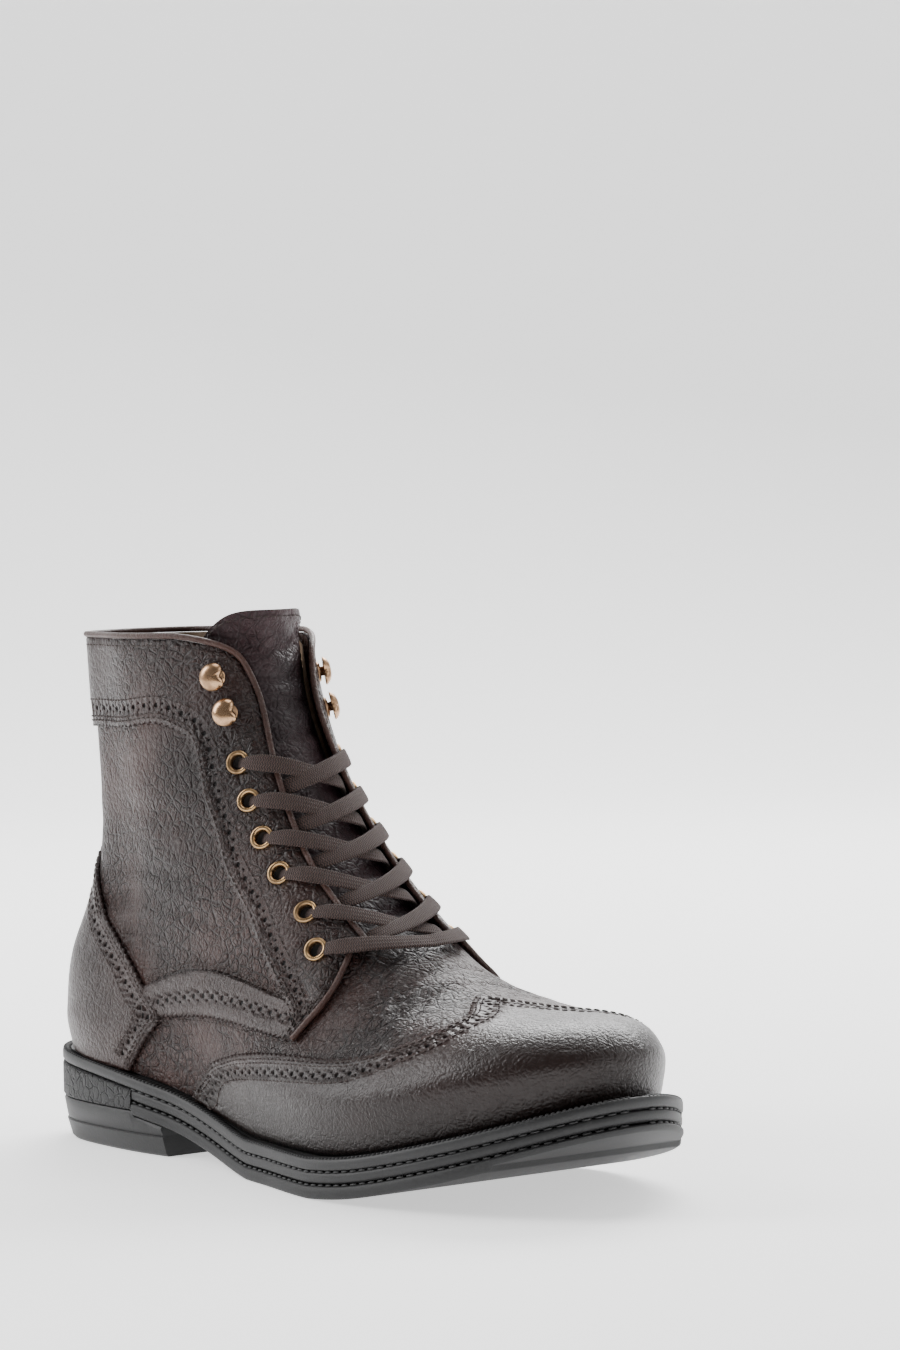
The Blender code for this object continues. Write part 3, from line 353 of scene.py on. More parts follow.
def surface(row, angle):
    """Points of the upper's outer face at the given rows and angles in radians."""
    row, angle = np.broadcast_arrays(np.asarray(row, float), np.asarray(angle, float))
    shape = row.shape
    row = row.ravel()
    angle = (angle.ravel() + math.pi) % (2 * math.pi) - math.pi
    share = (1 - np.cos(angle)) / 2
    inside = np.minimum(row, 1)
    by_row = weights(ROW_AT, inside)
    back_x, back_z, front_x, front_z, sag, shift = (by_row @ ROW_TABLE).T
    x = back_x + (front_x - back_x) * share
    z = back_z + (front_z - back_z) * share + sag * (sole_top(x) + 2 * GAP - FEATHER)
    by_share = weights(STATIONS, share)
    outer = np.einsum("ni,ij,nj->n", by_row, OUTER_TABLE, by_share)
    inner = np.einsum("ni,ij,nj->n", by_row, INNER_TABLE, by_share)
    y = shift * share**2 + np.sin(angle) / 2 * np.where(angle < 0, outer, inner)
    # Above the collar a piece goes straight on, leaning forward with the shaft's front.
    over = row - inside
    z = z + over * (COLLAR_HEIGHT - THROAT_HEIGHT) * ABOVE_COLLAR
    x = x + over * SHAFT_DEPTH * 0.6
    return np.stack([x, y, z], -1).reshape(shape + (3,))


def normal(row, angle):
    """The upper's outward directions."""
    step = 1e-3
    row = np.clip(np.asarray(row, float), step, 1 - step)
    up = surface(row + step, angle) - surface(row - step, angle)
    round_foot = surface(row, np.asarray(angle) + step) - surface(row, np.asarray(angle) - step)
    across = np.cross(up, round_foot)
    return across / np.linalg.norm(across, axis=-1, keepdims=True)


def lifted(row, angle, lift):
    """Points at a height over the upper's outer face."""
    return surface(row, angle) + normal(row, angle) * np.asarray(lift, float)[..., None]


def angle_at_x(row, x):
    """The angle at which a row passes x."""
    back_x, _, front_x, _, _, _ = (weights(ROW_AT, row) @ ROW_TABLE).T
    share = np.clip((x - back_x) / (front_x - back_x), 0, 1)
    return np.arccos(1 - 2 * share)


def opening_angle(row, side, less=0.0):
    """The angle of a facing's front edge, where the upper is as wide as the opening, or less."""
    half = through(OPENING, row) * FACING_GAP - less
    low = np.full(len(half), math.radians(95))
    high = np.full(len(half), math.pi)
    for _ in range(40):
        middle = (low + high) / 2
        wide = np.abs(surface(row, side * middle)[:, 1] - surface(row, middle * 0 + math.pi)[:, 1])
        low = np.where(wide > half, middle, low)
        high = np.where(wide > half, high, middle)
    return low


def facing_front(row, side):
    """The front edge of a facing and, below the throat, of the quarter."""
    row = np.atleast_1d(np.asarray(row, float))
    quarter = np.radians(through(QUARTER_FRONT, row))
    return np.where(row < 0.585, quarter, opening_angle(row, side))


def zip_edge(row, offset):
    """The angle of the zip's line on the inner side, moved forward by an offset."""
    row = np.atleast_1d(np.asarray(row, float))
    forward = ZIP_FOOT_FORWARD + (ZIP_TOP_FORWARD - ZIP_FOOT_FORWARD) * ease(ZIP_ROW, 1, row)
    return angle_at_x(row, SHAFT_CENTRE * LENGTH + forward + offset)


def turning():
    """How far a walk round the foot has turned, and gone, at each degree."""
    angles = np.radians(np.arange(-540, 541, 1.0))
    places = surface(np.full(len(angles), 0.3), angles)[:, :2]
    step = np.diff(places, axis=0)
    heading = np.unwrap(np.arctan2(step[:, 1], step[:, 0]))
    turned = np.concatenate([[0], np.cumsum(np.abs(np.diff(heading))), [0]])
    turned[-1] = turned[-2]
    gone = np.concatenate([[0], np.cumsum(np.linalg.norm(step, axis=1))])
    return angles, turned + gone / BALL_WIDTH


WALK_ANGLES, WALK = turning()


def spread(start, end, count):
    """Angles from start to end, closer together where the foot turns sharply."""
    ends = np.interp((start, end), WALK_ANGLES, WALK)
    return np.interp(np.linspace(ends[0], ends[1], count), WALK, WALK_ANGLES)


def angle_off(row, angle, side, distance):
    """The angle at a distance back round the surface from the given one."""
    angles = angle - np.radians(np.arange(0, 100, 0.5))
    places = surface(np.full(len(angles), float(row)), side * angles)
    gone = np.linalg.norm(np.diff(places, axis=0), axis=1)
    return float(np.interp(distance, np.concatenate([[0], np.cumsum(gone)]), angles))


# The sole

def outline(inset, back=-0.5, front=0.5, extra=(), count=30):
    """Outer and inner edge of the sole between two shares of the length, moved inwards."""
    angles = np.linspace(math.acos(-2 * back), math.acos(-2 * front), count)
    angles = np.sort(np.concatenate([angles, [math.acos(-2 * share) for share in extra]]))
    share = 0.5 - np.cos(angles) / 2
    near = 0.5 - np.cos(np.clip(angles + 1e-3, 0, math.pi)) / 2
    past = 0.5 - np.cos(np.clip(angles - 1e-3, 0, math.pi)) / 2
    tip = np.isclose(share, 0) | np.isclose(share, 1)
    edges = []
    for side in (-1, 1):
        dx = (near - past) * LENGTH
        dy = side * (sole_half(near, side) - sole_half(past, side))
        size = np.hypot(dx, dy)
        x = (share - 0.5) * LENGTH + side * dy / size * inset
        y = side * (sole_half(share, side) - dx / size * inset)
        x[tip] = (share[tip] - 0.5) * (LENGTH - 2 * inset)
        y[tip] = 0
        edges.append((x, y))
    return edges




# Walking over the surface

def unit(vectors):
    return vectors / np.maximum(np.linalg.norm(vectors, axis=-1, keepdims=True), 1e-12)


def nudge(row, angle, move):
    """Rows and angles after a move in metres within the surface."""
    step = 1e-3
    by_row = (surface(row + step, angle) - surface(row - step, angle)) / (2 * step)
    by_angle = (surface(row, angle + step) - surface(row, angle - step)) / (2 * step)
    a = (by_row * by_row).sum(-1)
    b = (by_row * by_angle).sum(-1)
    c = (by_angle * by_angle).sum(-1)
    p = (by_row * move).sum(-1)
    q = (by_angle * move).sum(-1)
    share = a * c - b * b
    return row + (c * p - b * q) / share, angle + (a * q - b * p) / share


def path(points, count=160):
    """A smooth line through rows and degrees."""
    points = np.array(points, float)
    points[:, 1] = np.radians(points[:, 1])
    gone = np.hypot(np.diff(points[:, 0]) * 0.15, np.diff(points[:, 1]) * 0.05)
    at = np.concatenate([[0], np.cumsum(gone)])
    if len(points) == 2:
        share = np.linspace(0, 1, count)[:, None]
        line = points[0] + (points[1] - points[0]) * share
        return line[:, 0], line[:, 1]
    found = weights(at, np.linspace(0, at[-1], count)) @ points
    return found[:, 0], found[:, 1]


def walk(line, pitch, ends=(0, 0)):
    """The line at even steps in metres, less a length at either end."""
    rows, angles = line
    places = surface(rows, angles)
    gone = np.concatenate([[0], np.cumsum(np.linalg.norm(np.diff(places, axis=0), axis=1))])
    steps = max(1, round((gone[-1] - sum(ends)) / pitch))
    at = np.linspace(ends[0], gone[-1] - ends[1], steps + 1)
    return np.interp(at, gone, rows), np.interp(at, gone, angles)


def sideways(line):
    """For each point of a line: its place, its direction and the way to its left."""
    rows, angles = line
    places = surface(rows, angles)
    along = unit(np.gradient(places, axis=0))
    return places, along, unit(np.cross(normal(rows, angles), along))


def beside(line, distance):
    """The line moved to its left by a distance, or by one for each point."""
    _, _, left = sideways(line)
    return nudge(line[0], line[1], left * np.reshape(distance, (-1, 1)))


def pinked(line, pitch=0.0030, depth=0.0011):
    """The line with saw teeth."""
    fine = walk(line, pitch / 2)
    saw = np.where(np.arange(len(fine[0])) % 2 == 0, depth / 2, -depth / 2)
    return beside(fine, saw)


def mirrored(line):
    return line[0], -np.asarray(line[1])


def reverse(line):
    return line[0][::-1], line[1][::-1]


def joined(*lines):
    return np.concatenate([l[0] for l in lines]), np.concatenate([l[1] for l in lines])


# Meshes

def new_mesh(name, points, faces, material=None, smooth=True, body="boot"):
    mesh = bpy.data.meshes.new(name)
    mesh.from_pydata(np.asarray(points, float).tolist(), [], [tuple(int(i) for i in f) for f in faces])
    mesh.validate()
    if smooth:
        mesh.shade_smooth()
    made = bpy.data.objects.new(name, mesh)
    bpy.context.scene.collection.objects.link(made)
    if material:
        mesh.materials.append(material)
    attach(made, body)
    return made


def grid_faces(rows, columns, closed=False, skip=()):
    faces = []
    last = columns if closed else columns - 1
    for i in range(rows - 1):
        for j in range(last):
            if (i, j) in skip:
                continue
            k = (j + 1) % columns
            faces.append((i * columns + j, (i + 1) * columns + j, (i + 1) * columns + k, i * columns + k))
    return faces


def bump_at(places, marks):
    """How far each place is pressed in or raised by the creases given in marks."""
    lift = np.zeros(len(places))
    for dots, width, depth in marks:
        low = dots.min(0) - 4 * width
        high = dots.max(0) + 4 * width
        near = np.where(((places > low) & (places < high)).all(1))[0]
        for start in range(0, len(near), 4000):
            some = near[start:start + 4000]
            apart = np.linalg.norm(places[some, None] - dots[None], axis=2)
            closest = apart.min(1)
            end = np.minimum(apart.argmin(1), len(dots) - 1 - apart.argmin(1)) / len(dots)
            fade = np.clip(end * 8, 0.15, 1)
            trough = -depth * np.exp(-((closest / width) ** 2))
            ridge = 0.35 * depth * np.exp(-(((closest - 1.9 * width) / width) ** 2))
            lift[some] += (trough + ridge) * fade
    return lift


def inside_of(shape, spots):
    """Which spots lie within a closed outline in the plane."""
    found = np.zeros(len(spots), bool)
    after = np.roll(shape, -1, axis=0)
    for (x1, y1), (x2, y2) in zip(shape, after):
        if y1 == y2:
            continue
        crossing = ((y1 > spots[:, 1]) != (y2 > spots[:, 1]))
        at = x1 + (spots[:, 1] - y1) / (y2 - y1) * (x2 - x1)
        found ^= crossing & (spots[:, 0] < at)
    return found


CHART = np.array((0.052, 0.155))


def panel(name, edge, holes, material, lift=BED + OVERLAY, drop=0.0014, grain=0.0023, marks=()):
    """A leather panel: an outline of rows and angles, cut through by round holes."""
    edge = np.stack([edge[1], edge[0]], -1) * CHART
    kept = np.linalg.norm(np.diff(edge, axis=0, append=edge[:1]), axis=1) > 1e-4
    edge = edge[kept]
    rims = []
    turn = np.linspace(0, 2 * math.pi, 13)[:-1]
    for row, angle, radius in holes:
        up = unit(surface(row + 0.01, angle) - surface(row, angle))
        out = unit(normal(row, angle))
        across = np.cross(out, up)
        move = radius * (np.cos(turn)[:, None] * up + np.sin(turn)[:, None] * across)
        rows, angles = nudge(np.full(12, row), np.full(12, angle), move)
        rims.append(np.stack([angles, rows], -1) * CHART)
    low = edge.min(0)
    high = edge.max(0)
    across = np.arange(low[0], high[0], grain)
    up = np.arange(low[1], high[1], grain)
    spots = np.array([(x + (grain / 2 if k % 2 else 0), y) for k, y in enumerate(up) for x in across])
    spots = spots[inside_of(edge, spots)]
    tree = kdtree.KDTree(len(edge) + sum(len(r) for r in rims))
    for k, spot in enumerate(np.concatenate([edge] + rims)):
        tree.insert((*spot, 0), k)
    tree.balance()
    spots = np.array([s for s in spots if tree.find((*s, 0))[2] > grain * 0.42])
    for rim in rims:
        spots = spots[~inside_of(rim, spots)]
    verts = [edge] + rims + [spots]
    loops = []
    start = 0
    for ring in [edge] + rims:
        loops += [(start + k, start + (k + 1) % len(ring)) for k in range(len(ring))]
        start += len(ring)
    flat = [Vector(v) for v in np.concatenate(verts)]
    points, _, faces, *_ = delaunay_2d_cdt(flat, loops, [], 0, 1e-7)
    points = np.array([tuple(p) for p in points])
    faces = np.array([f for f in faces if len(f) == 3])
    middle = points[faces].mean(1)
    good = inside_of(edge, middle)
    for rim in rims:
        good &= ~inside_of(rim, middle)
    faces = faces[good]
    used = np.unique(faces)
    points = points[used]
    faces = np.searchsorted(used, faces)
    chart = points / CHART
    sides = {}
    for a, b, c in faces:
        for pair in ((a, b), (b, c), (c, a)):
            sides[pair] = sides.get(pair, 0) + 1
    border = [pair for pair in sides if (pair[1], pair[0]) not in sides]
    rim_points = np.unique(np.array(border))
    height_of = np.full(len(points), lift)
    height_of[rim_points] -= 0.00028
    on = surface(chart[:, 1], chart[:, 0])
    height_of = height_of + bump_at(on, marks)
    out = normal(chart[:, 1], chart[:, 0])
    top = on + out * height_of[:, None]
    foot = on[rim_points] + out[rim_points] * (lift - drop)
    place = {int(p): len(top) + k for k, p in enumerate(rim_points)}
    shown = [(int(a), int(b), int(c)) for a, b, c in faces]
    first = np.cross(top[faces[:, 1]] - top[faces[:, 0]], top[faces[:, 2]] - top[faces[:, 0]])
    if (first * out[faces[:, 0]]).sum() < 0:
        shown = [(a, c, b) for a, b, c in shown]
        border = [(b, a) for a, b in border]
    shown += [(b, a, place[int(a)], place[int(b)]) for a, b in border]
    return new_mesh(name, np.concatenate([top, foot]), shown, material)


def beads(name, places, along, out, size, material, body="boot", sides=6, rings=3):
    """Many small rounded grains at once, such as stitches. Size is length, width and height."""
    turn = np.linspace(0, 2 * math.pi, sides + 1)[:-1]
    shape = [(-1, 0, 0)]
    for k in range(1, rings + 1):
        at = math.pi * k / (rings + 1)
        shape += [(-math.cos(at), math.sin(at) ** 0.7 * math.cos(t), math.sin(at) ** 0.7 * math.sin(t)) for t in turn]
    shape.append((1, 0, 0))
    shape = np.array(shape) * np.array(size) / 2
    side = unit(np.cross(out, along))
    up = unit(np.cross(along, side))
    frames = np.stack([unit(along), side, up], 1)
    points = places[:, None] + np.einsum("kj,njc->nkc", shape, frames)
    faces = []
    for k in range(sides):
        faces.append((0, 1 + (k + 1) % sides, 1 + k))
    for r in range(rings - 1):
        here = 1 + r * sides
        for k in range(sides):
            n = (k + 1) % sides
            faces.append((here + k, here + n, here + sides + n, here + sides + k))
    here = 1 + (rings - 1) * sides
    for k in range(sides):
        faces.append((here + k, here + (k + 1) % sides, len(shape) - 1))
    count = len(shape)
    every = [tuple(i + n * count for i in f) for n in range(len(places)) for f in faces]
    return new_mesh(name, points.reshape(-1, 3), every, material, body=body)


STITCHES = []


def stitch(line, lift=BED + OVERLAY, pitch=0.0027, ends=(0.001, 0.001)):
    """A row of stitches along a line on a panel, kept for one mesh."""
    fine = walk(line, pitch, ends)
    places, along, _ = sideways(fine)
    out = normal(*fine)
    STITCHES.append((places + out * (lift - 0.00005), along, out))


def round_cord(name, places, radius, material, sides=10, body="boot", closed=False):
    """A round cord through places."""
    places = np.asarray(places, float)
    if closed:
        along = unit(np.roll(places, -1, axis=0) - np.roll(places, 1, axis=0))
    else:
        along = unit(np.gradient(places, axis=0))
    side = unit(np.cross(along[0], (0.1, 0.2, 1.0)))
    sides_at = []
    for direction in along:
        side = unit(side - direction * (side @ direction))
        sides_at.append(side)
    sides_at = np.array(sides_at)
    ups = np.cross(along, sides_at)
    turn = np.linspace(0, 2 * math.pi, sides + 1)[:-1]
    size = np.broadcast_to(radius, len(places))[:, None, None]
    ring = np.cos(turn)[None, :, None] * sides_at[:, None] + np.sin(turn)[None, :, None] * ups[:, None]
    points = places[:, None] + ring * size
    faces = grid_faces(len(places), sides, closed=True)
    if closed:
        last = (len(places) - 1) * sides
        faces += [(last + k, k, (k + 1) % sides, last + (k + 1) % sides) for k in range(sides)]
    else:
        faces.append(tuple(range(sides)))
        faces.append(tuple((len(places) - 1) * sides + k for k in range(sides))[::-1])
    return new_mesh(name, points.reshape(-1, 3), faces, material, body=body)


def turned(name, profile, frame_matrix, material, steps=40, body="boot"):
    """A turned piece: radii and heights round the frame's Z axis."""
    turn = np.linspace(0, 2 * math.pi, steps + 1)[:-1]
    points = []
    for radius, z in profile:
        points += [(radius * math.cos(t), radius * math.sin(t), z) for t in turn]
    faces = grid_faces(len(profile), steps, closed=True)
    faces = [f[::-1] for f in faces]
    made = new_mesh(name, points, faces, material, body=body)
    made.data.transform(frame_matrix)
    return made


def frame_at(row, angle, lift):
    """A place over the upper, with X up the shaft, Y round it and Z outwards."""
    spot = Vector(lifted(row, angle, np.array(lift)).reshape(3))
    out = Vector(normal(row, angle).reshape(3))
    up = Vector((surface(row + 0.01, angle) - surface(row, angle)).reshape(3))
    up = (up - out * up.dot(out)).normalized()
    side = out.cross(up)
    turned_by = Matrix((up, side, out)).transposed().to_4x4()
    return Matrix.Translation(spot) @ turned_by


# Materials

class Nodes:
    """A short way to write a material's nodes."""

    def __init__(self, name):
        self.material = bpy.data.materials.new(name)
        self.material.use_nodes = True
        self.tree = self.material.node_tree
        self.shader = self.tree.nodes["Principled BSDF"]
        self.place = self.add("ShaderNodeTexCoord").outputs["Object"]

    def add(self, kind, inputs=(), **settings):
        made = self.tree.nodes.new(kind)
        for key, value in settings.items():
            setattr(made, key, value)
        for key, value in dict(inputs).items():
            self.link(value, made.inputs[key])
        return made

    def link(self, value, socket):
        if isinstance(value, bpy.types.NodeSocket):
            self.tree.links.new(value, socket)
        else:
            socket.default_value = value

    def math(self, operation, a, b=0.0, c=0.0):
        made = self.add("ShaderNodeMath", operation=operation)
        for k, value in enumerate((a, b, c)):
            self.link(value, made.inputs[k])
        return made.outputs[0]

    def mix(self, share, a, b):
        made = self.add("ShaderNodeMix", data_type="RGBA")
        self.link(share, made.inputs[0])
        self.link(a, made.inputs[6])
        self.link(b, made.inputs[7])
        return made.outputs[2]

    def ramp(self, value, low, high, start=0.0, end=1.0):
        made = self.add("ShaderNodeMapRange", interpolation_type="SMOOTHSTEP")
        for key, v in (("Value", value), ("From Min", low), ("From Max", high), ("To Min", start), ("To Max", end)):
            self.link(v, made.inputs[key])
        return made.outputs[0]

    def noise(self, scale, detail=3.0, roughness=0.55, place=None, distortion=0.0):
        made = self.add("ShaderNodeTexNoise")
        self.link(place or self.place, made.inputs["Vector"])
        for key, v in (("Scale", scale), ("Detail", detail), ("Roughness", roughness), ("Distortion", distortion)):
            made.inputs[key].default_value = v
        return made.outputs["Fac"]

    def cells(self, scale, feature="F1", place=None, randomness=1.0):
        made = self.add("ShaderNodeTexVoronoi", feature=feature)
        self.link(place or self.place, made.inputs["Vector"])
        made.inputs["Scale"].default_value = scale
        made.inputs["Randomness"].default_value = randomness
        return made.outputs["Distance"]

    def warped(self, scale, amount):
        """The place, pushed about by noise."""
        made = self.add("ShaderNodeTexNoise")
        self.link(self.place, made.inputs["Vector"])
        made.inputs["Scale"].default_value = scale
        made.inputs["Detail"].default_value = 2.0
        less = self.add("ShaderNodeVectorMath", operation="SUBTRACT")
        self.link(made.outputs["Color"], less.inputs[0])
        less.inputs[1].default_value = (0.5, 0.5, 0.5)
        size = self.add("ShaderNodeVectorMath", operation="SCALE")
        self.link(less.outputs[0], size.inputs[0])
        size.inputs["Scale"].default_value = amount
        total = self.add("ShaderNodeVectorMath", operation="ADD")
        self.link(self.place, total.inputs[0])
        self.link(size.outputs[0], total.inputs[1])
        return total.outputs[0]

    def bump(self, height_value, distance, strength=1.0, before=None):
        made = self.add("ShaderNodeBump")
        made.inputs["Strength"].default_value = strength
        made.inputs["Distance"].default_value = distance
        self.link(height_value, made.inputs["Height"])
        if before:
            self.link(before, made.inputs["Normal"])
        return made.outputs[0]

    def finish(self, **inputs):
        for key, value in inputs.items():
            self.link(value, self.shader.inputs[key.replace("_", " ")])
        return self.material


def leather(name, base, dark, grain=1.0, depth=1.0, crackle=0.5, rough=0.42, coat=0.15, shade=None):
    """Grained leather: pebbles, fine creases between them darkened with painted shade, and patchy colour."""
    n = Nodes(name)
    place = n.warped(160, 0.004)
    pebble = n.cells(620 * grain, place=place)
    wide = n.cells(250 * grain, "DISTANCE_TO_EDGE", place=n.warped(110, 0.006))
    close = n.cells(560 * grain, "DISTANCE_TO_EDGE", place=n.warped(200, 0.003))
    wide = n.ramp(wide, 0.0, 0.16, 1.0, 0.0)
    close = n.ramp(close, 0.0, 0.20, 0.55, 0.0)
    area = n.ramp(n.noise(30, 2.0), 0.34, 0.56, 0.25, 1.0)
    lines = n.math("MULTIPLY", n.math("MAXIMUM", wide, close), n.math("MULTIPLY", area, crackle))
    fine = n.noise(2600, 2.0)
    pore = n.noise(900, 3.0)
    height_value = n.math("ADD", n.math("MULTIPLY", pebble, -0.55), n.math("MULTIPLY", lines, -1.0))
    height_value = n.math("ADD", height_value, n.math("MULTIPLY", fine, 0.16))
    height_value = n.math("ADD", height_value, n.math("MULTIPLY", pore, 0.40))
    patches = n.ramp(n.noise(14, 4.0), 0.35, 0.68)
    colour = n.mix(patches, (*base, 1), (*dark, 1))
    # Painted shade: the colour darkens in the grain's creases, where the bump sinks the surface
    colour = n.mix(n.math("MULTIPLY", lines, 0.75), colour, (dark[0] * 0.35, dark[1] * 0.35, dark[2] * 0.35, 1))
    if shade:
        colour = shade(n, colour)
    gloss = n.math("ADD", rough, n.math("MULTIPLY", n.math("SUBTRACT", n.noise(240, 3.0), 0.5), 0.22))
    return n.finish(
        Base_Color=colour, Roughness=gloss, Coat_Weight=coat * 0.4, Coat_Roughness=0.28,
        Specular_IOR_Level=0.30, Normal=n.bump(height_value, 0.00075 * depth, 1.0))


def burnished(n, colour):
    """Darker towards the toe's edge and round the welt, as if rubbed with wax."""
    split = n.add("ShaderNodeSeparateXYZ")
    n.link(n.place, split.inputs[0])
    x, _, z = split.outputs
    toe = n.ramp(x, 0.080, 0.135)
    low = n.ramp(z, 0.052, 0.020)
    share = n.math("MULTIPLY", n.math("MAXIMUM", toe, low), 0.75)
    return n.mix(share, colour, (0.010, 0.006, 0.005, 1))


def thread(name, colour):
    n = Nodes(name)
    return n.finish(Base_Color=(*colour, 1), Roughness=0.75, Normal=n.bump(n.noise(4000, 2.0), 0.0001))


def rubber(name, colour, rough=0.6, texture=None, depth=0.0002):
    n = Nodes(name)
    patches = n.ramp(n.noise(30, 5.0), 0.3, 0.75)
    light = tuple(c * 1.9 + 0.006 for c in colour)
    shown = n.mix(n.math("MULTIPLY", patches, 0.5), (*colour, 1), (*light, 1))
    dust = n.ramp(n.noise(160, 5.0, 0.7), 0.60, 0.78)
    shown = n.mix(n.math("MULTIPLY", dust, 0.22), shown, (0.16, 0.155, 0.15, 1))
    fine = n.math("MULTIPLY", n.noise(1500, 3.0), 0.5)
    if texture:
        fine = n.math("ADD", fine, texture(n))
    return n.finish(
        Base_Color=shown, Roughness=n.math("ADD", rough, n.math("MULTIPLY", dust, 0.15)),
        Specular_IOR_Level=0.4, Normal=n.bump(fine, depth))


def criss_cross(n):
    """Irregular scratched triangles, as moulded round the heel."""
    stretch = n.add("ShaderNodeMapping")
    n.link(n.warped(60, 0.006), stretch.inputs["Vector"])
    stretch.inputs["Scale"].default_value = (1.0, 1.0, 0.8)
    edges = n.cells(300, "DISTANCE_TO_EDGE", place=stretch.outputs[0])
    return n.math("MULTIPLY", n.ramp(edges, 0.02, 0.10), 3.0)


def metal(name, colour, dark, rough=0.28):
    n = Nodes(name)
    aged = n.ramp(n.noise(150, 3.0, 0.55), 0.45, 0.72)
    scratch = n.noise(1800, 2.0)
    shown = n.mix(aged, (*colour, 1), (*dark, 1))
    gloss = n.math("ADD", rough, n.math("MULTIPLY", aged, 0.18))
    return n.finish(Base_Color=shown, Metallic=1.0, Roughness=gloss, Normal=n.bump(scratch, 0.00001))


def woven(name, colour, light):
    """A flat woven lace: chevrons across its width. It reads the mesh's own UVs, in metres."""
    n = Nodes(name)
    split = n.add("ShaderNodeSeparateXYZ")
    n.link(n.add("ShaderNodeUVMap").outputs[0], split.inputs[0])
    u, v, _ = split.outputs
    fold = n.math("ABSOLUTE", n.math("SUBTRACT", n.math("FRACT", n.math("MULTIPLY", u, 620.0)), 0.5))
    slant = n.math("ADD", n.math("MULTIPLY", v, 1150.0), n.math("MULTIPLY", fold, 1.3))
    yarn = n.math("SINE", n.math("MULTIPLY", slant, 6.2832))
    height_value = n.math("ADD", n.math("MULTIPLY", yarn, 0.5), n.math("MULTIPLY", fold, 1.2))
    height_value = n.math("ADD", height_value, n.math("MULTIPLY", n.noise(3500, 2.0), 0.5))
    # The weave drawn in two tones: painted highlight on the yarns' crests and painted shade between them, following
    # the bump
    shown = n.mix(n.ramp(yarn, -0.6, 0.9), (*colour, 1), (*light, 1))
    return n.finish(
        Base_Color=shown, Roughness=0.85, Sheen_Weight=0.05, Sheen_Roughness=0.5,
        Normal=n.bump(height_value, 0.00022))


def cloth(name, colour):
    n = Nodes(name)
    weave = n.math("ADD", n.cells(1500), n.noise(700, 2.0))
    return n.finish(Base_Color=(*colour, 1), Roughness=0.9, Normal=n.bump(weave, 0.0002))


# Palette

BROWN = (0.046, 0.0205, 0.0165)
DARK = (0.017, 0.0085, 0.0076)
upper_leather = leather("vamp_leather", BROWN, DARK, grain=0.9, depth=1.3, crackle=1.0, rough=0.40, coat=0.12)
cap_leather = leather("cap_leather", (0.034, 0.0145, 0.0115), DARK, grain=1.3, depth=0.55, crackle=0.35,
                      rough=0.33, coat=0.30, shade=burnished)
counter_leather = leather("counter_leather", (0.034, 0.0175, 0.0148), DARK, grain=1.1, depth=0.8, crackle=0.5,
                          rough=0.36, coat=0.22)
strip_leather = leather("strip_leather", (0.032, 0.0165, 0.0140), DARK, grain=1.1, depth=0.8, crackle=0.4,
                        rough=0.36, coat=0.22)
facing_leather = leather("facing_leather", (0.034, 0.0150, 0.0122), DARK, grain=1.0, depth=1.1, crackle=0.9,
                         rough=0.32, coat=0.30)
tongue_leather = leather("tongue_leather", (0.042, 0.0190, 0.0215), (0.014, 0.0080, 0.0090), grain=0.9,
                         depth=0.9, crackle=0.6, rough=0.46, coat=0.08)
piping_leather = leather("piping_leather", (0.075, 0.036, 0.028), (0.036, 0.018, 0.014), grain=1.6,
                         depth=0.5, crackle=0.3, rough=0.42, coat=0.15)
lining_leather = leather("lining_leather", (0.20, 0.135, 0.085), (0.13, 0.085, 0.055), grain=1.2,
                         depth=0.4, crackle=0.1, rough=0.60, coat=0.0)
thread_brown = thread("thread_brown", (0.030, 0.018, 0.015))
thread_black = thread("thread_black", (0.02, 0.017, 0.016))
# Black for discs set where there is only shade: painted shade in the holes and inside the eyelets
painted_hole_shade = thread("painted_hole_shade", (0.004, 0.003, 0.003))
sole_rubber = rubber("midsole_rubber", (0.014, 0.014, 0.0145), 0.52)
lip_rubber = rubber("lip_rubber", (0.016, 0.016, 0.0165), 0.50)
tread_rubber = rubber("tread_rubber", (0.013, 0.013, 0.0135), 0.58)
band_rubber = rubber("band_rubber", (0.012, 0.012, 0.0125), 0.60, criss_cross, 0.0008)
heel_rubber = rubber("block_rubber", (0.012, 0.012, 0.0125), 0.50)
brass = metal("eyelet_brass", (0.42, 0.27, 0.14), (0.16, 0.10, 0.055), 0.27)
hook_brass = metal("speed_hook_brass", (0.50, 0.31, 0.18), (0.24, 0.145, 0.085), 0.25)
nickel = metal("nickel", (0.66, 0.65, 0.63), (0.40, 0.39, 0.38), 0.20)
# The second colour is the painted highlight on the lace's yarn crests
lace_cotton = woven("lace_weave", (0.018, 0.0090, 0.0078), (0.075, 0.042, 0.034))
tape_cloth = cloth("tape_cloth", (0.012, 0.012, 0.012))
teeth_nylon = rubber("teeth_nylon", (0.02, 0.02, 0.02), 0.4)


# The lines that the panels share, in rows and degrees of the outer side

def both(line, side):
    """A line of the outer side, given with positive degrees, for either side of the foot."""
    return line if side > 0 else mirrored(line)


def facing_line(low, high, count=140):
    rows = np.linspace(low, high, count)
    return rows, facing_front(rows, -1)


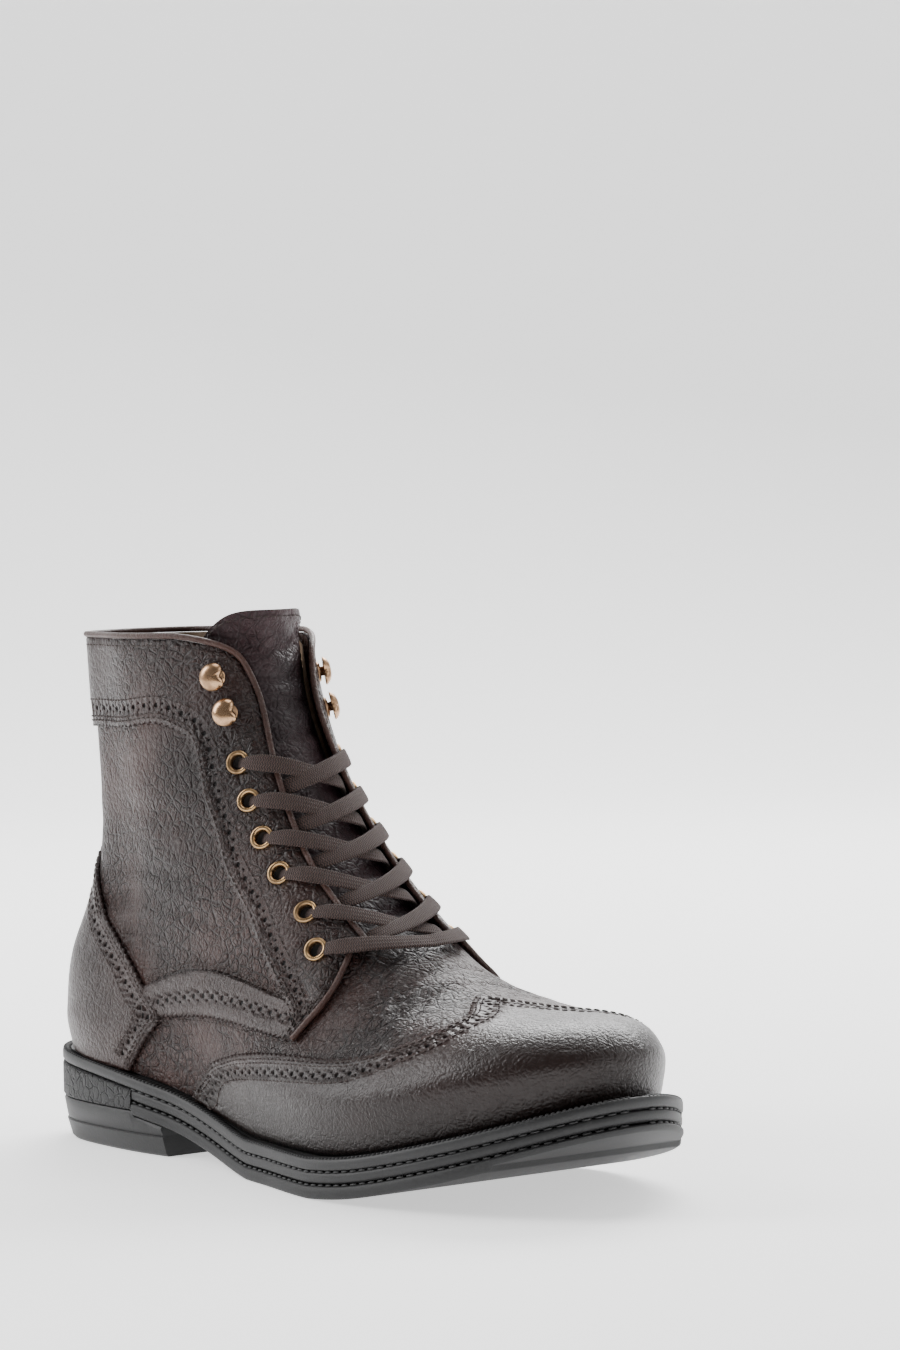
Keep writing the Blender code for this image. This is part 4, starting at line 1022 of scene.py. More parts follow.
COUNTER_SIDE = path([(0.0, 53), (0.110, 58), (0.215, 61), (0.310, 64), (0.390, 62.5), (0.445, 62),
                     (0.505, 61), (0.575, 56), (0.630, 49), (0.690, 41), (0.725, 33)])
COUNTER_CAP = path([(0.725, 33), (0.747, 25), (0.763, 14), (0.765, 5), (0.765, 0)], 60)
STRIP_HIGH = path([(0.395, 61), (0.440, 69), (0.480, 79), (0.505, 89), (0.505, 97), (0.480, 106), (0.455, 111)])
STRIP_LOW = path([(0.285, 61), (0.325, 70.5), (0.350, 77), (0.363, 84), (0.363, 91), (0.352, 98), (0.338, 105)])
WING_HIGH = path([(0.0, 71.2), (0.040, 72), (0.110, 75.6), (0.160, 77), (0.235, 82.5), (0.275, 89), (0.290, 96),
                  (0.295, 104), (0.295, 110), (0.300, 120), (0.325, 129), (0.350, 137), (0.380, 144),
                  (0.415, 153), (0.450, 160), (0.475, 168)], 260)
REAR = path([(0.345, 102), (0.40, 107), (0.47, 112), (0.535, 117), (0.590, 120), (0.645, 121.5), (0.690, 120),
             (0.725, 119), (0.765, 120), (0.795, 119), (0.830, 120), (0.860, 119), (0.872, 114), (0.882, 106),
             (0.886, 85), (0.890, 60), (0.893, 40), (0.895, 0)], 300)

marks = []


def crease(points, width, depth, side=-1):
    """A soft trough with a low ridge at either side, along rows and degrees."""
    rows, angles = path(points, 70)
    marks.append((surface(rows, side * angles), width, depth))


# Walking creases over the vamp, from the ridge down to both sides
for bend in (
    ([(0.330, 116), (0.400, 128), (0.470, 146), (0.505, 164), (0.512, 180), (0.500, 196), (0.450, 216), (0.380, 232)], 0.0020, 0.00085),
    ([(0.360, 121), (0.440, 137), (0.510, 152), (0.540, 168), (0.545, 184), (0.520, 204), (0.450, 224)], 0.0019, 0.00075),
    ([(0.315, 124), (0.372, 138), (0.420, 150), (0.452, 158)], 0.0018, 0.00060),
    ([(0.420, 128), (0.490, 142), (0.552, 156), (0.575, 172), (0.575, 188), (0.550, 206)], 0.0016, 0.00060),
    ([(0.470, 168), (0.485, 180), (0.478, 192), (0.440, 208)], 0.0018, 0.00050),
    ([(0.395, 122), (0.455, 133), (0.500, 139)], 0.0012, 0.00050),
    ([(0.430, 142), (0.475, 150), (0.500, 160)], 0.0010, 0.00040),
    ([(0.445, 136), (0.495, 147), (0.530, 160)], 0.0010, 0.00040),
    ([(0.300, 112), (0.345, 122), (0.385, 134)], 0.0013, 0.00040),
):
    crease(*bend)
# Folds at the ankle and down the shaft
for bend in (
    ([(0.640, 40), (0.665, 62), (0.655, 84), (0.620, 104), (0.600, 117)], 0.0034, 0.00085),
    ([(0.700, 44), (0.722, 66), (0.712, 88), (0.690, 108)], 0.0030, 0.00065),
    ([(0.585, 62), (0.600, 78), (0.585, 96), (0.560, 112)], 0.0030, 0.00070),
    ([(0.780, 30), (0.800, 58), (0.790, 88), (0.765, 112)], 0.0040, 0.00045),
    ([(0.530, 70), (0.548, 84), (0.538, 100)], 0.0026, 0.00050),
):
    crease(*bend)
    crease(*bend, side=1)


# The upper

def fine_upper():
    """The upper's outer face: even columns between the back, the zip's slot and the opening."""
    rows = np.concatenate([np.linspace(0, ZIP_ROW, 88)[:-1], np.linspace(ZIP_ROW, THROAT_ROW, 10)[:-1],
                           np.linspace(THROAT_ROW, 1, 70)])
    front = opening_angle(np.maximum(rows, THROAT_ROW), -1)
    front_in = opening_angle(np.maximum(rows, THROAT_ROW), 1)
    low = zip_edge(np.maximum(rows, ZIP_ROW), -ZIP_SLOT / 2)
    high = zip_edge(np.maximum(rows, ZIP_ROW), ZIP_SLOT / 2)
    parts = ((-np.pi + 0 * front, -front, 22), (-front, 0 * front, 100), (0 * front, low, 40), (low, high, 5),
             (high, front_in, 46), (front_in, np.pi + 0 * front, 22))
    columns = []
    kinds = []
    for k, (start, end, count) in enumerate(parts):
        share = np.linspace(0, 1, count + 1)[:-1]
        columns.append(start[:, None] + (end - start)[:, None] * share)
        kinds += [k] * count
    angles = np.concatenate(columns, 1)
    grid = np.repeat(rows[:, None], angles.shape[1], 1)
    skip = set()
    for i, row in enumerate(rows[:-1]):
        for j, kind in enumerate(kinds):
            if (kind in (0, 5) and row >= THROAT_ROW - 1e-9) or (kind == 3 and row >= ZIP_ROW - 1e-9):
                skip.add((i, j))
    return grid, angles, skip


grid, angles, skip = fine_upper()
flat_places = surface(grid, angles).reshape(-1, 3)
lift = bump_at(flat_places, marks)
outer_face = flat_places + normal(grid, angles).reshape(-1, 3) * lift[:, None]
faces = grid_faces(*grid.shape, closed=True, skip=skip)
upper = new_mesh("upper_leather", outer_face, faces, upper_leather)
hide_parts("upper")
thin = (slice(None, None, 3), slice(None, None, 3))
inner_rows, inner_angles = grid[::3], angles[::3]
inside = lifted(inner_rows, inner_angles, np.full(inner_rows.shape, -WALL)).reshape(-1, 3)
skipped = {(i // 3, j) for i, j in skip if i % 3 == 0}
lining_faces = [f[::-1] for f in grid_faces(*inner_rows.shape, closed=True, skip=skipped)]
lining = new_mesh("upper_lining", inside, lining_faces, lining_leather)


def edge_strip(name, line, low, high, material, steps=4):
    """A strip that closes the wall along a line, between two lifts."""
    rows, angles_at = line
    levels = np.linspace(low, high, steps)
    points = np.concatenate([lifted(rows, angles_at, np.full(len(rows), level)) for level in levels])
    return new_mesh(name, points, grid_faces(steps, len(rows)), material)


def zip_line(offset, low=ZIP_ROW, high=1.0, count=50):
    rows = np.linspace(low, high, count)
    return rows, zip_edge(rows, offset)


# Panels

holes = {"facing_outer": [], "facing_inner": [], "counter": [], "quarter_strip_outer": [],
         "quarter_strip_inner": [], "wing_cap": []}
BIG = 0.00095
SMALL = 0.00048


def perforate(panel_name, line, pitch=0.0063, ends=(0.003, 0.003), small=True, apart=0.0011):
    """Large holes along a line, with a pair of small ones between each two."""
    at = walk(line, pitch, ends)
    for row, angle in zip(*at):
        holes[panel_name].append((float(row), float(angle), BIG))
    if not small:
        return
    rows = (at[0][1:] + at[0][:-1]) / 2
    turns = (at[1][1:] + at[1][:-1]) / 2
    for offset in (apart, -apart):
        moved = beside((rows, turns), offset)
        for row, angle in zip(*moved):
            holes[panel_name].append((float(row), float(angle), SMALL))


def eyelet_spots(side):
    found = []
    for row in EYELET_ROWS:
        front = float(facing_front([row], side)[0])
        found.append((row, side * angle_off(row, front, side, EYELET_INSET)))
    return found


for side, word in ((-1, "outer"), (1, "inner")):
    name = f"facing_{word}"
    rear = both(REAR, side)
    zip_side = float(zip_edge([0.95], side * (ZIP_SLOT / 2 + 0.001))[0])
    top_rows = np.linspace(1.0, 0.895, 12)
    if side < 0:
        seam = top_rows, zip_edge(top_rows, -ZIP_SLOT / 2 - 0.0010)
        back = np.full(40, 0.895), np.linspace(0, float(seam[1][-1]), 40)
        rear_all = joined(rear, (back[0][1:], back[1][1:]))
    else:
        seam = top_rows, zip_edge(top_rows, ZIP_SLOT / 2 + 0.0010)
        stop = float(seam[1][-1])
        kept = rear[1] > stop + 0.01
        kept |= rear[0] < 0.85
        rear_all = rear[0][kept], rear[1][kept]
    front = facing_line(0.345, 1.0)
    front = (front[0], facing_front(front[0], side) * side)
    top = np.full(60, 1.0), np.linspace(front[1][-1], seam[1][0], 60)
    saw = pinked(rear_all)
    outline_of = joined(front, (top[0][1:], top[1][1:]), (seam[0][1:-1], seam[1][1:-1]), reverse(saw))
    for row, angle in eyelet_spots(side):
        holes[name].append((row, angle, 0.0030))
    inward = 1 if side < 0 else -1
    stitch(beside(rear_all, -inward * 0.0016))
    stitch(beside(rear_all, -inward * 0.0031))
    perforate(name, beside(rear_all, -inward * 0.0062), ends=(0.012, 0.004))
    stitch(beside(rear_all, -inward * 0.0094), ends=(0.016, 0.003))
    stitch(beside(front, inward * 0.0024), ends=(0.006, 0.004))
    stitch(beside(top, inward * 0.0022), ends=(0.003, 0.002))
    made = panel(name + "_leather", outline_of, holes[name], facing_leather, marks=marks)
    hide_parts(name)

counter_outer = mirrored(COUNTER_SIDE)
cap_outer = mirrored(COUNTER_CAP)
edge_outer = joined(counter_outer, (cap_outer[0][1:], cap_outer[1][1:]))
edge_inner = reverse(mirrored(edge_outer))
edge = joined(edge_outer, (edge_inner[0][1:], edge_inner[1][1:]))
saw = pinked(edge)
sole_line = np.full(90, 0.002), np.linspace(edge[1][-1], edge[1][0], 90)[0:]
outline_of = joined(saw, (sole_line[0][1:-1], sole_line[1][1:-1]))
stitch(beside(edge, 0.0016), ends=(0.002, 0.002))
stitch(beside(edge, 0.0031), ends=(0.002, 0.002))
perforate("counter", beside(edge, 0.0060), ends=(0.004, 0.004))
stitch(beside(edge, 0.0092), ends=(0.002, 0.002))
made = panel("counter_leather_panel", outline_of, holes["counter"], counter_leather, marks=marks)
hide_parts("counter")

for side, word in ((-1, "outer"), (1, "inner")):
    name = f"quarter_strip_{word}"
    high = both(STRIP_HIGH, side)
    low = both(STRIP_LOW, side)
    inward = -1 if side < 0 else 1
    outline_of = joined(high, reverse(pinked(low)))
    stitch(beside(high, inward * -0.0014), ends=(0.006, 0.001))
    stitch(beside(high, inward * -0.0028), ends=(0.006, 0.001))
    stitch(beside(low, inward * 0.0016), ends=(0.006, 0.001))
    middle = (high[0] * 0.46 + low[0] * 0.54, high[1] * 0.46 + low[1] * 0.54)
    perforate(name, middle, ends=(0.008, 0.004), apart=0.0014)
    made = panel(name + "_leather", outline_of, holes[name], strip_leather, lift=BED + OVERLAY * 0.8,
                 drop=0.0012, marks=marks)
    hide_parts(name)

wing_outer = mirrored(WING_HIGH)
tip = math.radians(WING_TIP)
wing_inner = (wing_outer[0][::-1], 2 * tip - wing_outer[1][::-1])
wing = joined(wing_outer, ([0.478], [tip]), wing_inner)
saw = pinked(wing)
sole_line = np.full(160, 0.002), np.linspace(wing[1][-1], wing[1][0], 160)
outline_of = joined(saw, (sole_line[0][1:-1], sole_line[1][1:-1]))
for offset, ends in ((0.0015, (0.002, 0.002)), (0.0030, (0.003, 0.003)), (0.0098, (0.002, 0.002))):
    for half in (wing_outer, wing_inner):
        stitch(beside(half, -offset), ends=ends)
for half in (wing_outer, wing_inner):
    perforate("wing_cap", beside(half, -0.0064), ends=(0.004, 0.003))
made = panel("wing_cap_leather", outline_of, holes["wing_cap"], cap_leather, grain=0.0026, marks=marks)
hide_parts("wing_cap")

# Painted shade: black discs at the floors of the holes, where there is only shade
spots = [(row, angle, radius) for name in holes for row, angle, radius in holes[name] if radius < 0.002]
turn = np.linspace(0, 2 * math.pi, 9)[:-1]
points = []
faces = []
for row, angle, radius in spots:
    place = frame_at(row, angle, BED + OVERLAY - 0.0009)
    start = len(points)
    for t in turn:
        points.append(place @ Vector((radius * 1.02 * math.cos(t), radius * 1.02 * math.sin(t), 0)))
    faces.append(tuple(range(start, start + 8)))
new_mesh("hole_floors", [tuple(p) for p in points], faces, painted_hole_shade, smooth=False)

# The tongue

def fine_tongue():
    low = THROAT_ROW - 0.03
    over = TONGUE_RISE / ((COLLAR_HEIGHT - THROAT_HEIGHT) * ABOVE_COLLAR)
    across = np.linspace(-1, 1, 49)
    shares = np.linspace(0, 1, 90)
    rows = np.zeros((90, 49))
    turns = np.zeros((90, 49))
    for j, place in enumerate(across):
        top = 1 + over * (1 - 0.95 * abs(place) ** 5)
        for i, share in enumerate(shares):
            row = low + (top - low) * share
            half = TONGUE_HALF * (0.72 + 0.28 * ease(0, 0.5, share))
            side = -1 if place < 0 else 1
            rows[i, j] = row
            turns[i, j] = side * angle_off(min(row, 1), math.pi, side, half * abs(place))
    return rows, turns, across, shares


def soft(points, marks_of, out):
    return points + out * bump_at(points, marks_of)[:, None]


tongue_rows, tongue_turns, across, shares = fine_tongue()
tongue_out = normal(tongue_rows, tongue_turns)
outside = surface(tongue_rows, tongue_turns) + tongue_out * (-WALL - 4 * GAP)
edge_fade = np.minimum(1, (1 - np.abs(across)) / 0.06)[None, :] * np.minimum(1, (1 - shares) / 0.02)[:, None]
folds = []
for points_of in (
    ((0.90, -0.62), (0.86, -0.20), (0.865, 0.25), (0.895, 0.6)),
    ((0.955, -0.70), (0.925, -0.45), (0.905, -0.30)),
    ((0.62, -0.75), (0.600, -0.2), (0.61, 0.3), (0.63, 0.8)),
    ((0.78, -0.55), (0.755, 0.0), (0.77, 0.5)),
    ((0.985, 0.15), (0.94, 0.42), (0.915, 0.70)),
    ((0.70, -0.4), (0.685, 0.1), (0.70, 0.55)),
):
    spots_at = np.array(points_of)
    i = np.interp(np.linspace(0, 1, 60), np.linspace(0, 1, len(spots_at)), spots_at[:, 0])
    j = np.interp(np.linspace(0, 1, 60), np.linspace(0, 1, len(spots_at)), spots_at[:, 1])
    ii = np.clip((i * 89).astype(int), 0, 89)
    jj = np.clip(((j + 1) / 2 * 48).astype(int), 0, 48)
    folds.append((outside[ii, jj], 0.0020, 0.0008))
sunk = bump_at(outside.reshape(-1, 3), folds).reshape(90, 49)
outside = outside + tongue_out * (sunk - 0.0005 * (1 - edge_fade))[..., None]
inner = surface(tongue_rows, tongue_turns) + tongue_out * (-WALL - 4 * GAP - TONGUE + 0.0005 * (1 - edge_fade))[..., None]
points = np.concatenate([outside.reshape(-1, 3), inner.reshape(-1, 3)])
size = 90 * 49
faces = grid_faces(90, 49)
faces = [f[::-1] for f in faces] + [tuple(k + size for k in f) for f in faces]
rim = [j for j in range(49)] + [i * 49 + 48 for i in range(1, 90)] + [89 * 49 + j for j in range(47, -1, -1)]
rim += [i * 49 for i in range(88, 0, -1)]
faces += [(a, b, b + size, a + size) for a, b in zip(rim, rim[1:] + rim[:1])]
tongue = new_mesh("tongue_leather", points, faces, tongue_leather)
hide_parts("tongue")


def tongue_stitch(inset):
    """A seam round the tongue's top and sides, a distance inside its edge."""
    i_at = 89 - inset / 0.0013
    j_in = inset / (TONGUE_HALF / 24)
    ways = [(i, 48 - j_in) for i in np.linspace(45, i_at, 40)]
    ways += [(i_at, j) for j in np.linspace(48 - j_in, j_in, 60)[1:]]
    ways += [(i, j_in) for i in np.linspace(i_at, 45, 40)[1:]]
    places = []
    outs = []
    for i, j in ways:
        i0, j0 = int(i), int(j)
        places.append(outside[i0, j0] * (1 - (i - i0)) + outside[min(i0 + 1, 89), j0] * (i - i0)
                      + (outside[i0, min(j0 + 1, 48)] - outside[i0, j0]) * (j - j0))
        outs.append(tongue_out[i0, j0])
    places = np.array(places)
    gone = np.concatenate([[0], np.cumsum(np.linalg.norm(np.diff(places, axis=0), axis=1))])
    at = np.arange(0, gone[-1], 0.0027)
    even = np.stack([np.interp(at, gone, places[:, k]) for k in range(3)], -1)
    out = np.stack([np.interp(at, gone, np.array(outs)[:, k]) for k in range(3)], -1)
    STITCHES.append((even + out * 0.0001, unit(np.gradient(even, axis=0)), out))


tongue_stitch(0.0030)

# Piping along the facings and round the collar

for side, name in ((-1, "piping_outer"), (1, "piping_inner")):
    rows = np.concatenate([np.linspace(0.345, 0.58, 40)[:-1], np.linspace(0.58, 1.0, 120)])
    angles = facing_front(rows, side)
    end = float(zip_edge([1.0], side * (ZIP_SLOT / 2 + 4 * GAP))[0])
    turn_to = end if side > 0 else -end
    collar = np.linspace(angles[-1], turn_to, 110)[1:]
    rows = np.concatenate([rows, np.ones(len(collar))])
    angles = side * np.concatenate([angles, collar])
    rows, angles = walk((rows, angles), 0.0011)
    places = lifted(rows, angles, np.full(len(rows), PIPING + BED))
    along = unit(np.gradient(places, axis=0))
    out = unit(-side * np.cross(along, normal(rows, angles)))
    kernel = np.exp(-np.linspace(-2, 2, 9) ** 2)
    kernel /= kernel.sum()
    out = unit(np.stack([np.convolve(np.pad(out[:, k], 4, "edge"), kernel, "valid") for k in range(3)], -1))
    made = round_cord(name + "_leather", places + out * (PIPING + 0.5 * GAP), PIPING * 1.05, piping_leather)
    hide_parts(name)

# Eyelets and hooks

ring = [(0.0023, -0.0024), (0.0024, -0.0006), (0.0027, 0.0002), (0.0031, 0.00062), (0.0036, 0.00070),
        (0.0040, 0.00048), (0.0043, 0.00005), (0.0043, -0.00035)]
floors = []
for side, word in ((-1, "outer"), (1, "inner")):
    for k, (row, angle) in enumerate(eyelet_spots(side)):
        place = frame_at(row, angle, BED + OVERLAY)
        made = turned(f"eyelet_ring_{word}_{k + 1}", ring, place, brass)
        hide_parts(f"eyelet_{word}_{k + 1}")
        # A black disc inside each eyelet: painted shade in its hole
        turned(f"eyelet_dark_{word}_{k + 1}", [(0.0, -0.0015), (0.0024, -0.0015)], place, painted_hole_shade, steps=16)
    for k, row in enumerate(HOOK_ROWS):
        front = float(facing_front([row], side)[0])
        angle = side * angle_off(row, front, side, EYELET_INSET)
        place = frame_at(row, angle, BED + OVERLAY)
        steps = 48
        points = []
        # The head's edge is bitten in on the side of the facing's front edge.
        levels = ((0.0, 1.00), (0.30, 0.985), (0.55, 0.93), (0.75, 0.83), (0.90, 0.68), (0.98, 0.56), (1.0, 0.49),
                  (0.97, 0.44), (0.86, 0.47), (0.45, 0.50))
        for share, level in levels:
            for s in range(steps):
                t = 2 * math.pi * s / steps
                apart = (t - side * math.pi / 2 + math.pi) % (2 * math.pi) - math.pi
                reach = HOOK * (1 - 0.42 * math.exp(-(apart / 0.55) ** 2))
                points.append((share * reach * math.cos(t), share * reach * math.sin(t), HOOK_HEIGHT * level))
        faces = [f[::-1] for f in grid_faces(len(levels), steps, closed=True)]
        head = new_mesh(f"hook_head_{word}_{k + 1}", points, faces, hook_brass)
        head.data.transform(place)
        neck = turned(f"hook_foot_{word}_{k + 1}",
                      [(0.0018, HOOK_HEIGHT * 0.6), (0.0016, 0.0010), (0.0034, 0.0006), (0.0037, 0.0)],
                      place, hook_brass, steps=24)
        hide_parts(f"hook_{word}_{k + 1}")
        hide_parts(f"hook_{word}_{k + 1}")

# The lace

def flat_lace(name, places, out, width, thick):
    """A flat woven lace along places; its width and thickness may change along it."""
    places = np.asarray(places, float)
    gone = np.concatenate([[0], np.cumsum(np.linalg.norm(np.diff(places, axis=0), axis=1))])
    along = unit(np.gradient(places, axis=0))
    side = unit(np.cross(out, along))
    up = unit(np.cross(along, side))
    turn = np.linspace(0, 2 * math.pi, 21)[:-1]
    c = np.sign(np.cos(turn)) * np.abs(np.cos(turn)) ** 0.75
    s = np.sign(np.sin(turn)) * np.abs(np.sin(turn)) ** 0.60
    width = np.broadcast_to(width, len(places))
    thick = np.broadcast_to(thick, len(places))
    points = (places[:, None] + c[None, :, None] * side[:, None] * width[:, None, None] / 2
              + s[None, :, None] * up[:, None] * thick[:, None, None] / 2)
    faces = grid_faces(len(places), 20, closed=True)
    faces.append(tuple(range(20)))
    faces.append(tuple((len(places) - 1) * 20 + k for k in range(20))[::-1])
    made = new_mesh(name, points.reshape(-1, 3), faces, lace_cotton)
    layer = made.data.uv_layers.new(name="lace")
    flat_u = np.tile(c * LACE_WIDTH / 2, len(places))
    flat_v = np.repeat(gone, 20)
    for loop in made.data.loops:
        layer.data[loop.index].uv = (flat_u[loop.vertex_index], flat_v[loop.vertex_index])
    return made


def lace_run(name, side, k, over, middle):
    """A lace out of an eyelet, over its facing and across the tongue, then under the other facing."""
    rows_of = EYELET_ROWS[k], EYELET_ROWS[k + 1]
    front = float(facing_front([rows_of[0]], side)[0])
    start = abs(angle_off(rows_of[0], front, side, EYELET_INSET))
    far_front = float(facing_front([rows_of[1]], -side)[0])
    far = abs(angle_off(rows_of[1], far_front, -side, EYELET_INSET))
    low = rows_of[0] + (rows_of[1] - rows_of[0]) * 0.80
    edge_far = float(opening_angle([low], -side)[0])
    under = angle_off(low, edge_far, -side, 0.0050)
    total = 2 * math.pi - under - start
    share = np.linspace(0, 1, 90)
    row = rows_of[0] + (rows_of[1] - rows_of[0]) * share * total / (2 * math.pi - far - start)
    angle = side * (start + share * total)
    edge = (float(opening_angle([rows_of[0]], side)[0]) - start) / total
    ridge = (math.pi - start) / total
    dive = (2 * math.pi - edge_far - start) / total
    knots = np.array([0, 0.035, 0.10, edge * 0.75, edge * 1.12, ridge, dive - 0.10, dive - 0.005, 1.0])
    lifts = np.array([-0.0010, 0.0018, 0.0034, over, over * 0.92, middle, middle * 0.75, -0.0010, -0.0031])
    order = np.argsort(knots)
    lift = np.interp(share, knots[order], lifts[order])
    kernel = np.exp(-np.linspace(-2, 2, 11) ** 2)
    kernel /= kernel.sum()
    lift = np.convolve(np.pad(lift, 5, "edge"), kernel, "valid")
    places = surface(row, angle) + normal(row, angle) * lift[:, None]
    wide = np.interp(share, (0, 0.04, 0.16, 1.0), (0.0036, 0.0042, LACE_WIDTH * 1.05, LACE_WIDTH))
    thick = np.interp(share, (0, 0.04, 0.16, 1.0), (0.0016, 0.0015, 0.0011, 0.0011))
    return flat_lace(name, places, normal(row, angle), wide, thick)


last = len(EYELET_ROWS) - 1
for k in range(last):
    near = lace_run(f"lace_near_{k + 1}", -1, k, 0.0041, 0.0010)
    far = lace_run(f"lace_far_{k + 1}", 1, k, 0.0041, 0.0024)
    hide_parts(f"lace_cross_{k + 1}")
    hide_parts(f"lace_cross_{k + 1}")
row = EYELET_ROWS[last]
front_out = float(facing_front([row], -1)[0])
front_in = float(facing_front([row], 1)[0])
outer_at = angle_off(row, front_out, -1, EYELET_INSET)
inner_at = angle_off(row, front_in, 1, EYELET_INSET)
share = np.linspace(0, 1, 110)
angle = -outer_at - share * (2 * math.pi - outer_at - inner_at)
rise = np.interp(share, (0, 0.03, 0.08, 0.22, 0.5, 0.78, 0.92, 0.97, 1),
                 (-0.001, 0.0018, 0.0034, 0.0041, 0.0031, 0.0041, 0.0034, 0.0018, -0.001))
kernel = np.exp(-np.linspace(-2, 2, 11) ** 2)
kernel /= kernel.sum()
rise = np.convolve(np.pad(rise, 5, "edge"), kernel, "valid")
wide = np.interp(share, (0, 0.03, 0.12, 0.88, 0.97, 1), (0.0036, 0.0042, 0.0062, 0.0062, 0.0042, 0.0036))
rows_at = np.full(len(share), row)
bar = flat_lace("lace_bar_cotton", lifted(rows_at, angle, rise), normal(rows_at, angle), wide, 0.0012)
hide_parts("lace_bar")

# The sole

def stack(name, levels, material, back=-0.5, front=0.5, count=150, sharp=50, squeeze=None):
    """A solid between the sole's outlines at the given insets and heights, from top to bottom."""
    rings = []
    for inset, place in levels:
        (x1, y1), (x2, y2) = outline(inset, back, front, count=count)
        ring_of = np.concatenate([np.stack([x1, y1], -1), np.stack([x2, y2], -1)[::-1]])
        rings.append(np.column_stack([ring_of, place(ring_of[:, 0])]))
    size = len(rings[0])
    points = np.concatenate(rings)
    faces = [f for f in grid_faces(len(rings), size, closed=True)]
    half = size // 2
    for ring_at, flip in ((0, False), (len(rings) - 1, True)):
        base = ring_at * size
        for k in range(half - 1):
            quad = (base + k, base + k + 1, base + size - 2 - k, base + size - 1 - k)
            faces.append(quad[::-1] if flip else quad)
    made = new_mesh(name, points, faces, material)
    work = bmesh.new()
    work.from_mesh(made.data)
    bmesh.ops.remove_doubles(work, verts=work.verts, dist=1e-6)
    bmesh.ops.recalc_face_normals(work, faces=work.faces)
    work.to_mesh(made.data)
    work.free()
    made.data.set_sharp_from_angle(angle=math.radians(sharp))
    return made


def level(depth):
    return lambda x: sole_top(x) - depth


def flat_at(z):
    return lambda x: 0 * x + z


band_end = BAND_LENGTH / LENGTH - 0.5
breast = HEEL_LENGTH / LENGTH - 0.5
thin_step = 0.0001
welt = stack("welt_lip", [
    (0.0050, level(-0.0000)), (0.0012, level(0.0)), (0.0005, level(0.0002)), (0.0000, level(0.0009)),
    (0.0000, level(0.0032)), (0.0004, level(0.0038)), (0.0016, level(0.0041)), (0.0020, level(0.0043)),
    (0.0040, level(0.0043))], lip_rubber)
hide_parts("welt")
mid = stack("midsole_layer", [
    (0.0040, level(0.0044)), (0.0018, level(0.0044)), (0.0012, level(0.0046)), (0.0007, level(0.0050)),
    (0.0004, level(0.0056)), (0.0004, level(0.0074)), (0.0008, level(0.0080)), (0.0016, level(0.0084)),
    (0.0040, level(0.0086))], sole_rubber, back=band_end)
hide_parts("midsole")
under = WELT + MIDSOLE + 2 * GAP
start_x = 0.5 * LENGTH - TREAD_STEP_BACK


def stepped(depth):
    return lambda x: sole_top(x) - depth + TREAD_STEP * ease(start_x - 0.0006, start_x + 0.0006, x)


tread = stack("outsole_layer", [
    (0.0040, level(under - 0.0001)), (0.0016, level(under)), (0.0006, level(under + 0.0003)),
    (0.0000, level(under + 0.0009)), (0.0000, stepped(under + OUTSOLE - 0.0010)),
    (0.0004, stepped(under + OUTSOLE - 0.0003)), (0.0010, stepped(under + OUTSOLE))],
    tread_rubber, back=band_end, count=260)
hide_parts("outsole")


def band_top(x):
    return sole_top(x) - WELT - GAP


gap_share = GAP / LENGTH
band = stack("heel_band_rubber", [
    (0.0030, lambda x: band_top(x)), (0.0008, lambda x: band_top(x)), (0.0002, lambda x: band_top(x) - 0.0004),
    (0.0000, lambda x: band_top(x) - 0.0010), (0.0000, flat_at(BAND_FOOT + 0.0010)),
    (0.0005, flat_at(BAND_FOOT + 0.0002)), (0.0030, flat_at(BAND_FOOT))],
    band_rubber, front=band_end - gap_share, count=90)
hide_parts("heel_band")


def block_top(x):
    return np.where(x < band_end * LENGTH - GAP / 2, BAND_FOOT, sole_top(x) - SOLE) - GAP


block = stack("heel_block", [
    (0.0024, lambda x: block_top(x)), (0.0008, lambda x: block_top(x)), (0.0003, lambda x: block_top(x) - 0.0008),
    (0.0014, flat_at(0.0078)), (0.0018, flat_at(0.0073)), (0.0012, flat_at(0.0068)),
    (HEEL_TAPER - 0.0004, flat_at(0.0010)), (HEEL_TAPER + 0.0006, flat_at(0.0))],
    heel_rubber, front=breast, count=90)
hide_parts("heel")


def sole_line_at(inset, depth, low, high, pitch, sides=(-1, 1)):
    """Even places along the sole's edge, with their directions."""
    found = []
    for side in sides:
        (x1, y1), (x2, y2) = outline(inset, low, high, count=400)
        x, y = (x1, y1) if side < 0 else (x2, y2)
        places = np.stack([x, y, sole_top(x) - depth], -1)
        gone = np.concatenate([[0], np.cumsum(np.linalg.norm(np.diff(places, axis=0), axis=1))])
        at = np.linspace(0, gone[-1], max(2, int(gone[-1] / pitch)))
        even = np.stack([np.interp(at, gone, places[:, k]) for k in range(3)], -1)
        along = unit(np.gradient(even, axis=0))
        out = unit(np.cross(along, np.broadcast_to((0.0, 0.0, 1.0), along.shape)) * -side)
        found.append((even, along, out))
    return [np.concatenate(parts) for parts in zip(*found)]


# Knurls along the lip, across its top edge
places, along, out = sole_line_at(0.0016, -0.00005, -0.497, 0.499, 0.0019)
up = unit(np.cross(out, along) * 1.0)
up = np.where(up[:, 2:] < 0, -up, up)
beads("lip_knurls", places, out, up, (0.0030, 0.00155, 0.00095), lip_rubber, sides=8)
# Dashes of the imitation stitching in the two grooves
for name, depth, inset, low in (("groove_dashes_upper", WELT + 0.00010, 0.0010, band_end + 0.002),
                                ("groove_dashes_lower", WELT + MIDSOLE + 0.00045, 0.0011, band_end + 0.002)):
    places, along, out = sole_line_at(inset, depth, low, 0.498, 0.0041)
    beads(name, places, along, out, (0.0033, 0.0008, 0.0013), lip_rubber, sides=6)

